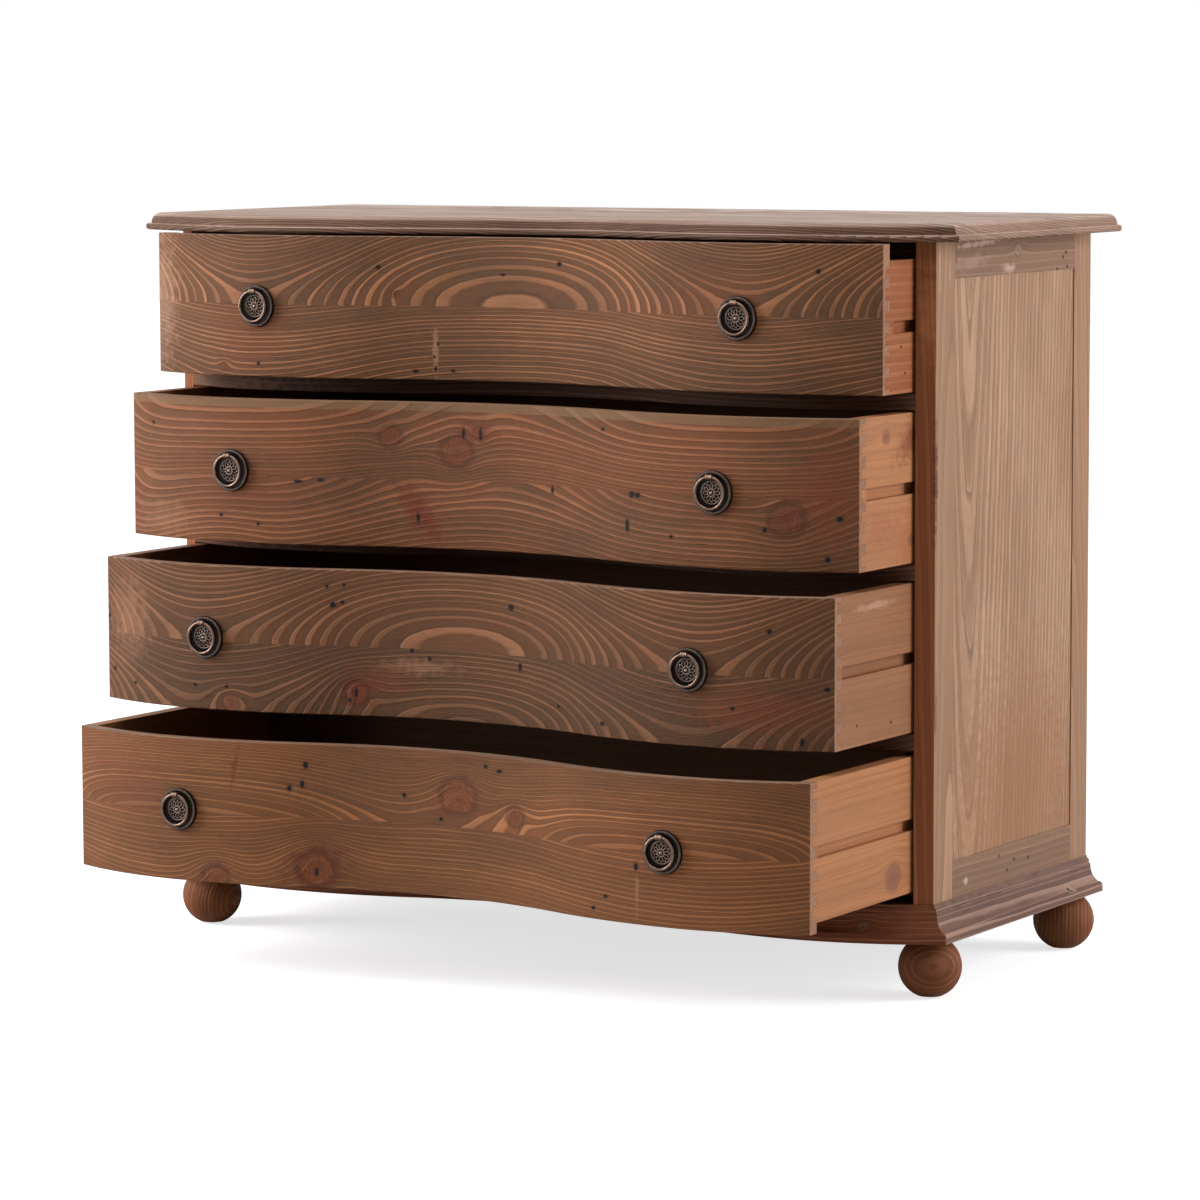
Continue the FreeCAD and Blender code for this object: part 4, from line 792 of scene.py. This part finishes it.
# Painted sheen: the top's upper face is painted paler for the white sheen it shows when seen almost edge on.
TOP_FACE_SHEEN_TONES = stain_tones((158, 126, 107), (182, 150, 132), (220, 194, 180))
BASE_TONES = stain_tones((101, 54, 33), (118, 65, 39), (148, 90, 57))
BASE_SIDE_TONES = stain_tones((106, 78, 68), (122, 92, 79), (162, 128, 110))
FOOT_TONES = stain_tones((116, 68, 40), (126, 74, 43), (144, 89, 54))
INSIDE_TONES = stain_tones((174, 118, 80), (170, 114, 74), (160, 104, 66), *BOX_KNOT)
ORANGE_TONES = stain_tones((148, 90, 52), (142, 80, 44), (164, 106, 68), *BOX_KNOT)
TAN_TONES = stain_tones((150, 104, 72), (144, 96, 64), (138, 92, 62), *BOX_KNOT)
# Painted shade: the drawers' backs and bottoms are painted darker than their sides, for the shade inside the
# case.
DRAWER_INSIDE_SHADE_TONES = stain_tones((104, 68, 46), (112, 74, 50), (94, 60, 38))
BOX_TONES = {1: ORANGE_TONES, 2: INSIDE_TONES, 3: TAN_TONES, 4: INSIDE_TONES}
for tones in (BASE_SIDE_TONES, SIDE_TONES, RAIL_TONES):
    tones["rubbed"] = colour(194, 162, 142)
LIGHT_SCUFF = colour(204, 174, 158)

RAIL_NAILS = [
    (0.1385, 0.8556), (0.1641, 0.8500), (0.1301, 0.8499), (0.1416, 0.8387), (0.1134, 0.8361),
    (-0.1610, 0.8561), (-0.0362, 0.1458), (0.0050, 0.1364), (0.0438, 0.1334), (-0.0141, 0.1259),
]
RAIL_NAIL_SIZE = 0.0019
SIDES = {"left": -1, "right": 1}
for index, (side, sign) in enumerate(SIDES.items()):
    dress_wood(
        f"{side}_front_post", "Z", [Board(sign * 0.455, -0.17, 190, 1.0, 0.008, index * 5 + 1, taper=0.012)],
        POST_TONES, faces=[(1, -1, POST_FRONT_SHADE_TONES)], fuzz=0.5, relief=0.6,
        smudges_and_painted_light=[
            (0.850, -0.200, 0.040, 0.0025, -8.0, 0.4, LIGHT_SCUFF),
            (0.845, -0.174, 0.036, 0.0025, 4.0, 0.4, LIGHT_SCUFF),
            (0.60, -0.207, 0.085, 0.0045, 0, 0.75, colour(70, 28, 16)),
            (0.34, -0.206, 0.05, 0.004, 0, 0.5, colour(84, 36, 20)),
            (0.80, -0.213, 0.080, 0.006, 0, 0.6, colour(172, 108, 66)),
        ],
    )
    dress_wood(
        f"{side}_rear_post", "Z", [Board(sign * 0.46, 0.16, 210, 1.0, 0.010, index * 5 + 2, taper=0.02)],
        POST_TONES, fuzz=0.7,
    )
    rail_board = Board(sign * 0.44, 0.60, 110, 1.0, 0.016, index * 5 + 3)
    dress_wood(
        f"{side}_side_rails", "Y", [rail_board], RAIL_TONES, fuzz=0.6, relief=0.7, line=0.95,
        knots=knots_on(rail_board, [(0.0052, 0.8634, 0.0075, 0.6)], sign * 0.525),
        nails=[(along, up, RAIL_NAIL_SIZE, RAIL_NAIL_SIZE) for along, up in RAIL_NAILS],
        smudges_and_painted_light=[
            (-0.105, 0.8725, 0.060, 0.0050, 9.0, 0.65, LIGHT_SCUFF),
            (-0.02, 0.842, 0.020, 0.007, 0, 0.6, LIGHT_SCUFF),
            (-0.1245, 0.1286, 0.008, 0.006, 0, 0.8, LIGHT_SCUFF),
            (-0.12, 0.852, 0.05, 0.012, 2, 0.22, LIGHT_SCUFF),
        ],
    )
    dress_wood(
        f"{side}_side_panel", "Z", [Board(sign * 0.475, -0.118, 110, 1.0, 0.020, index * 5 + 4, taper=-0.05)],
        SIDE_TONES, fuzz=1.6, relief=1.2, line=0.58,
        smudges_and_painted_light=[(0.20, 0.02, 0.22, 0.30, 0, 0.6, colour(158, 108, 74))],
    )
    dress_wood(
        f"plinth_{side}", "Y", [Board(sign * 0.42, -0.05, 210, 1.0, 0.008, 32 + index)], BASE_SIDE_TONES,
        nails=[(0.1257, 0.0832, 0.0028, 0.0018)],
        smudges_and_painted_light=[(0.1257, 0.0832, 0.012, 0.005, 0, 0.6, LIGHT_SCUFF)], worn=0.8,
    )
dress_wood(
    "top_board", "X", [Board(0.26, 2.87, 300, 1.0, 0.020, 21)], TOP_TONES, shine=0.42,
    faces=[(0, 0, TOP_END_TONES), (2, 1, TOP_FACE_SHEEN_TONES)],
)
for node in (
    "front_top_rail", "divider_1", "divider_2", "divider_3", "front_bottom_rail", "base_board", "back_rails",
):
    low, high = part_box(node)
    dress_wood(
        node, "X", [Board(-0.16, 0.2, 160, 1.0, 0.008, len(node))], CASE_SHADE_TONES, worn=0,
        # The painted shade is lightened in a broad patch towards each part's left end.
        smudges_and_painted_light=[(low.x, (low.z + high.z) / 2, 0.22, 0.10, 0, 0.7, colour(124, 86, 64))],
    )
dress_wood("back_panel", "Z", [Board(0.05, 0.27, 200, 1.0, 0.012, 9, taper=0.03)], CASE_SHADE_TONES, worn=0.3)
dress_wood(
    "plinth_front", "X", [Board(-0.24, -0.50, 170, 1.0, 0.008, 31)], BASE_TONES, line=0.75,
    knots=[(0.455, 0.088, 0.006, 0.5, 0.5)],
)
foot_low, foot_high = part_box("bun_feet")
FOOT_RADIUS = 0.0373
foot_x = foot_high.x - FOOT_RADIUS
foot_y = foot_low.y + FOOT_RADIUS
foot_boards = [
    Board(0.42, 0.10, 210, 1.0, 0.004, 41),
    Board(foot_x - 0.020, foot_y + 0.030, 240, 1.0, 0.003, 42, taper=0.15),
]
dress_wood("bun_feet", "Z", foot_boards, FOOT_TONES, joint=0.0, fuzz=0.8, line=0.93)
dress_wood("drawer_runners", "Y", [Board(0.4, 0.0, 300, 1.0, 0.004, 51)], INSIDE_TONES, worn=0)

SIDE_KNOTS = {
    2: [(-0.2860, 0.6594, 0.0075, 0.8), (-0.2222, 0.5368, 0.006, 0.8)],
    4: [(-0.2645, 0.1515, 0.014, 0.4)],
}
SIDE_NAILS = {
    1: [(-0.2494, 0.7597, 0.0018, 0.0018), (-0.2391, 0.7295, 0.0018, 0.0018)],
    3: [(-0.3552, 0.3371, 0.0018, 0.0018), (-0.2710, 0.3318, 0.0018, 0.0018)],
    4: [(-0.4295, 0.2116, 0.0020, 0.0020)],
}
SIDE_SMUDGES_AND_SHADE = {
    1: [
        (-0.25, 0.83, 0.05, 0.05, 0, 0.4, colour(150, 84, 54)),
        (-0.25, 0.74, 0.06, 0.02, 0, 0.3, colour(150, 88, 56)),
    ],
    2: [
        (-0.222, 0.655, 0.035, 0.035, 1.0, 0.75, colour(118, 58, 40)),
        (-0.30, 0.555, 0.05, 0.035, 0, 0.5, colour(152, 92, 64)),
        (-0.23, 0.54, 0.05, 0.05, 0, 0.5, colour(160, 92, 56)),
    ],
    3: [
        (-0.31, 0.470, 0.06, 0.006, 3.0, 0.6, colour(190, 146, 122)),
        # Painted shade: a darker band down the drawer side where it goes into the case.
        (-0.215, 0.40, 0.02, 0.1, 0, 0.5, colour(140, 92, 62)),
    ],
    # Painted shade: a darker band down the drawer side where it goes into the case.
    4: [(-0.215, 0.20, 0.02, 0.1, 0, 0.4, colour(150, 98, 66))],
}
SIDE_SEED = 3.7
DRAWER_HALF_WIDTH = 0.5005
for number in FRONTS:
    base = FRONTS[number]["low"]
    for side, sign in SIDES.items():
        sawn = Board(sign * 0.43, base - 0.08, 110, 1.0, 0.012, number * SIDE_SEED + sign)
        dress_wood(
            f"drawer_{number}_{side}_side", "Y", [sawn], BOX_TONES[number],
            knots=knots_on(sawn, SIDE_KNOTS.get(number, ()), sign * DRAWER_HALF_WIDTH),
            nails=SIDE_NAILS.get(number, ()), smudges_and_painted_light=SIDE_SMUDGES_AND_SHADE[number],
            relief=0.3, worn=0.25, fuzz=0.5, line=0.95, uneven=(0.3, 0.9),
        )
    for part in ("back", "bottom"):
        sawn = Board(0.3, base - 0.03, 170, 1.0, 0.008, number + len(part))
        dress_wood(f"drawer_{number}_{part}", "X", [sawn], DRAWER_INSIDE_SHADE_TONES, relief=0.35, worn=0, fuzz=0.6)
print("case finished")

# %% [markdown]
# Metal next: the pulls are antique bronze, almost black in the hollows and rubbed bright where fingers and
# cloth touch them. The rings and their barrels, which are handled most, are paler than the plates.

# %% Finish the metal
EDGE_RADIUS = 0.0008
PATCH_FINENESS = 420
PATCH_SHARE = 0.4


def metal_finish(name, dark, bright, rough, ground=0.0):
    """Old metal: dark in the hollows, rubbed bright on the high edges; the ground is bright by its share."""
    material, recipe = new_material(name)
    place = recipe.node("ShaderNodeTexCoord").outputs["Object"]
    patches = recipe.cloud(place, PATCH_FINENESS, 4, 0.6)
    edges = recipe.place(edge_wear, Point=place, Radius=EDGE_RADIUS)
    rubbed = recipe.add(edges["Wear"], recipe.ramp(patches, 0.4, 0.75, ground, ground + PATCH_SHARE))
    rubbed = recipe.math("MINIMUM", rubbed, 1.0)
    recipe.finish(recipe.node("ShaderNodeBsdfPrincipled", {
        "Base Color": recipe.blend(rubbed, dark, bright),
        "Metallic": 1.0,
        "Roughness": recipe.ramp(patches, 0.3, 0.7, rough + 0.08, rough - 0.05),
    }))
    return material


ring_bronze = metal_finish("ring_bronze", colour(78, 60, 53), colour(150, 122, 106), 0.27, ground=0.35)
barrel_bronze = metal_finish("barrel_bronze", colour(84, 64, 56), colour(156, 128, 112), 0.32, ground=0.4)
plain_steel = metal_finish("plain_steel", colour(120, 120, 120), colour(180, 180, 180), 0.4)
dark_glide = metal_finish("dark_glide", colour(30, 28, 28), colour(60, 56, 54), 0.5)
for number in FRONTS:
    dress(f"drawer_{number}_pull_screws", plain_steel)
    for side in SIDES:
        dress(f"drawer_{number}_{side}_ring", ring_bronze)
dress("runner_screws", plain_steel)
dress("foot_glides", dark_glide)
print("metal finished")

# %% [markdown]
# Each pull's plate was cast with a roped rim, a deep channel, and a flower of twelve looped petals round a
# bead, and its ring hangs in a ribbed barrel at the top. A turned outline could give the rim and the dome
# but not the petals, so the plate is a round grid whose height is worked out at every point: the turned
# outline first, then the rope's twist on the rim and a ridge along each petal's edge. All eight plates share
# one mesh. Lengths in this cell are in mm.

# %% Model the pull plates
PLATE_RADIUS = 25.5
PLATE_EDGE = 0.9
RIM_WIDTH = 4.0
RIM_FOOT = 1.2
RIM_HEIGHT = 3.8
ROPE_TWISTS = 64
ROPE_DEPTH = 0.35
ROPE_SLANT = 2.2
CHANNEL_FLOOR = 1.9
CHANNEL_DIP = 0.5
FILLET_HEIGHT = 0.5
FILLET_PLACE = 0.82
FILLET_WIDTH = 0.07
BORDER_RADIUS = 13.0
BORDER_WIDTH = 1.3
BORDER_HEIGHT = 3.9
DOME_FOOT = 3.1
DOME_TOP = 5.3
BEAD_RADIUS = 1.9
BEAD_TOP = 6.4
PETALS = 12
PETAL_MIDDLE = 7.4
PETAL_LENGTH = 3.4
PETAL_WIDTH = 1.65
PETAL_ROOT_SHARE = 0.55
PETAL_TIP_SHARE = 0.45
PETAL_RIDGE = 0.85
PETAL_RIDGE_WIDTH = 0.24
PETAL_SINK = 0.75
SEED_HEIGHT = 0.25
SEED_WIDTH = 0.35
ROUND_STEPS = 288
RIM_INNER = PLATE_RADIUS - RIM_WIDTH
BORDER_OUTER = BORDER_RADIUS + BORDER_WIDTH
FLOWER_EDGE = BORDER_RADIUS - BORDER_WIDTH


def half_round(share):
    """The outline of a bead, from 0 at its sides to 1 in the middle."""
    return math.sqrt(max(0.0, 1 - share * share))


def plate_height(reach, turn):
    """How far the plate's face stands out at a distance from its middle and a turn round it."""
    if reach > RIM_INNER:
        share = (reach - RIM_INNER) / RIM_WIDTH * 2 - 1
        rope = math.cos(ROPE_TWISTS * turn + share * ROPE_SLANT) * ROPE_DEPTH * (1 - share * share)
        return RIM_FOOT + (RIM_HEIGHT - RIM_FOOT) * half_round(share * share) + rope - ROPE_DEPTH
    if reach > BORDER_OUTER:
        edge = (reach - BORDER_OUTER) / (RIM_INNER - BORDER_OUTER)
        fillet = FILLET_HEIGHT * math.exp(-((edge - FILLET_PLACE) / FILLET_WIDTH) ** 2)
        return CHANNEL_FLOOR - CHANNEL_DIP * math.sin(math.pi * edge) + fillet
    if reach > FLOWER_EDGE:
        share = (reach - BORDER_RADIUS) / BORDER_WIDTH
        foot = CHANNEL_FLOOR if share > 0 else DOME_FOOT
        return foot + (BORDER_HEIGHT - foot) * half_round(share)
    if reach < BEAD_RADIUS:
        return DOME_TOP + (BEAD_TOP - DOME_TOP) * half_round(reach / BEAD_RADIUS)
    dome = DOME_FOOT + (DOME_TOP - DOME_FOOT) * (1 - (reach / FLOWER_EDGE) ** 2)
    sector = math.tau / PETALS
    aside = ((turn + sector / 2) % sector - sector / 2) * reach
    width = PETAL_WIDTH * (PETAL_ROOT_SHARE + PETAL_TIP_SHARE * reach / PETAL_MIDDLE)
    oval = math.hypot((reach - PETAL_MIDDLE) / PETAL_LENGTH, aside / width)
    ridge = PETAL_RIDGE * math.exp(-((oval - 1) / PETAL_RIDGE_WIDTH) ** 2)
    return dome - PETAL_SINK + ridge + SEED_HEIGHT * math.exp(-(oval / SEED_WIDTH) ** 2)


PLATE_DARK = colour(22, 18, 18)
PLATE_BRIGHT = colour(158, 136, 124)
PLATE_PATCHES = 500


def plate_finish():
    """The plate's own bronze: the lower its face, the darker; between petals it is measured from the dome."""
    material, recipe = new_material("plate_bronze")
    place = recipe.node("ShaderNodeTexCoord").outputs["Object"]
    x, y, z = (recipe.times(number, 1 / MM) for number in recipe.parts(place))
    height = recipe.times(y, -1)
    square = recipe.add(recipe.times(x, x), recipe.times(z, z))
    dome = recipe.take(DOME_TOP, recipe.times(square, (DOME_TOP - DOME_FOOT) / FLOWER_EDGE ** 2))
    petals = recipe.ramp(recipe.take(height, dome), -0.65, 0.05)
    plain = recipe.ramp(height, 2.3, 3.9, 0, 0.42)
    rubbed = recipe.either(recipe.math("LESS_THAN", square, FLOWER_EDGE ** 2), plain, petals)
    patches = recipe.cloud(place, PLATE_PATCHES, 4, 0.6)
    rubbed = recipe.times(rubbed, recipe.ramp(patches, 0.3, 0.7, 0.55, 1.0))
    recipe.finish(recipe.node("ShaderNodeBsdfPrincipled", {
        "Base Color": recipe.blend(rubbed, PLATE_DARK, PLATE_BRIGHT),
        "Metallic": 1.0,
        "Roughness": recipe.ramp(rubbed, 0, 1, 0.6, 0.3),
    }))
    return material


FINE_STEP = 0.3
FLOWER_CIRCLES = 48
RIM_START = 21.6
RIM_CIRCLES = 13
CHANNEL_RADII = [14.5, 15.2, 16.2, 17.4, 18.6, 19.4, 19.9, 20.3, 20.8, 21.3]


def plate_radii():
    """The circles of the grid, closer together where the ornament is fine."""
    flower = [step * FINE_STEP for step in range(1, FLOWER_CIRCLES)]
    rim = [RIM_START + step * FINE_STEP for step in range(RIM_CIRCLES)]
    return flower + CHANNEL_RADII + rim + [PLATE_RADIUS]


def finished_mesh(made, name, material):
    """Turn built faces into a mesh with its finish, all faces looking outwards."""
    bmesh.ops.recalc_face_normals(made, faces=made.faces)
    mesh = bpy.data.meshes.new(name)
    made.to_mesh(mesh)
    made.free()
    mesh.materials.append(material)
    return mesh


def plate_mesh():
    """The plate lies in the X-Z plane with its back on Y = 0 and its face towards -Y."""
    made = bmesh.new()
    middle = made.verts.new((0, -BEAD_TOP * MM, 0))
    last = None
    for reach in plate_radii():
        circle = []
        for step in range(ROUND_STEPS):
            turn = math.tau * step / ROUND_STEPS
            height = plate_height(reach, turn) if reach < PLATE_RADIUS else PLATE_EDGE
            spot = (reach * math.sin(turn) * MM, -height * MM, reach * math.cos(turn) * MM)
            circle.append(made.verts.new(spot))
        for step in range(ROUND_STEPS):
            after = (step + 1) % ROUND_STEPS
            if last is None:
                made.faces.new((middle, circle[step], circle[after]))
            else:
                made.faces.new((last[step], circle[step], circle[after], last[after]))
        last = circle
    back = [made.verts.new((vert.co.x, 0, vert.co.z)) for vert in last]
    for step in range(ROUND_STEPS):
        after = (step + 1) % ROUND_STEPS
        made.faces.new((last[step], back[step], back[after], last[after]))
    made.faces.new(back[::-1])
    for face in made.faces:
        face.smooth = len(face.verts) < 5
    return finished_mesh(made, "pull_plate", plate_finish())


BARREL_HALF = 4.2
BARREL_RADIUS = 3.35
BARREL_BORE = 2.45
BARREL_RIBS = 4
BARREL_TURNS = 40
BARREL_STEPS = 26
RIB_DEPTH = 0.22
BELLY = 0.25
BARREL_INSET = 0.5
NECK_HALF = 2.6
NECK_DEPTH = 2.6
NECK_GAP = 0.25
NECK_ROOT = 0.4
NECK_BEVEL = 0.4
RING_STAND = 9.0
RING_RADIUS = 18.3


def barrel_mesh():
    """The ribbed barrel that the ring hangs from, along X, with the neck that joins it to the plate."""
    made = bmesh.new()
    outline = []
    for step in range(BARREL_STEPS + 1):
        x = -BARREL_HALF + 2 * BARREL_HALF * step / BARREL_STEPS
        rib = RIB_DEPTH * math.cos(math.tau * BARREL_RIBS * step / BARREL_STEPS)
        belly = BELLY * (1 - (x / BARREL_HALF) ** 2)
        outline.append((x, BARREL_RADIUS - BARREL_INSET + rib + belly))
    outline.append((BARREL_HALF, BARREL_BORE))
    outline.append((-BARREL_HALF, BARREL_BORE))
    circles = []
    for x, reach in outline:
        circle = []
        for step in range(BARREL_TURNS):
            turn = math.tau * step / BARREL_TURNS
            spot = (x * MM, -reach * math.cos(turn) * MM, reach * math.sin(turn) * MM)
            circle.append(made.verts.new(spot))
        circles.append(circle)
    for first, second in zip(circles, circles[1:] + circles[:1]):
        for step in range(BARREL_TURNS):
            after = (step + 1) % BARREL_TURNS
            made.faces.new((first[step], second[step], second[after], first[after]))
    inner = BARREL_BORE + NECK_GAP
    outer = RING_STAND - CHANNEL_FLOOR + NECK_ROOT
    corners = [
        made.verts.new((x * NECK_HALF * MM, y * MM, z * NECK_DEPTH / 2 * MM))
        for y in (inner, outer)
        for x, z in SQUARE
    ]
    near, far = corners[:4], corners[4:]
    sides = [(near[index], near[(index + 1) % 4], far[(index + 1) % 4], far[index]) for index in range(4)]
    neck = [made.faces.new(near[::-1]), made.faces.new(far)] + [made.faces.new(side) for side in sides]
    edges = {edge for face in neck for edge in face.edges}
    bmesh.ops.bevel(made, geom=list(edges), offset=NECK_BEVEL * MM, segments=2, affect="EDGES", profile=0.5)
    for face in made.faces:
        face.smooth = True
    return finished_mesh(made, "pull_barrel", barrel_bronze)


plate_shape = plate_mesh()
barrel_shape = barrel_mesh()
for number in FRONTS:
    plates_low, plates_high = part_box(f"drawer_{number}_rosettes")
    middle = (FRONTS[number]["low"] + FRONTS[number]["high"]) / 2
    places = {"left": plates_low.x + PLATE_RADIUS * MM, "right": plates_high.x - PLATE_RADIUS * MM}
    for side, reach in places.items():
        plate = bpy.data.objects.new(f"drawer_{number}_{side}_plate", plate_shape)
        barrel = bpy.data.objects.new(f"drawer_{number}_{side}_barrel", barrel_shape)
        plate.location = (reach, plates_high.y, middle)
        barrel.location = (reach, plates_high.y - RING_STAND * MM, middle + RING_RADIUS * MM)
        for piece in (plate, barrel):
            bpy.context.scene.collection.objects.link(piece)
            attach(piece, f"drawer_{number}")
            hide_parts(f"drawer_{number}_rosettes")
print("plate faces:", len(plate_shape.polygons), "barrel faces:", len(barrel_shape.polygons))
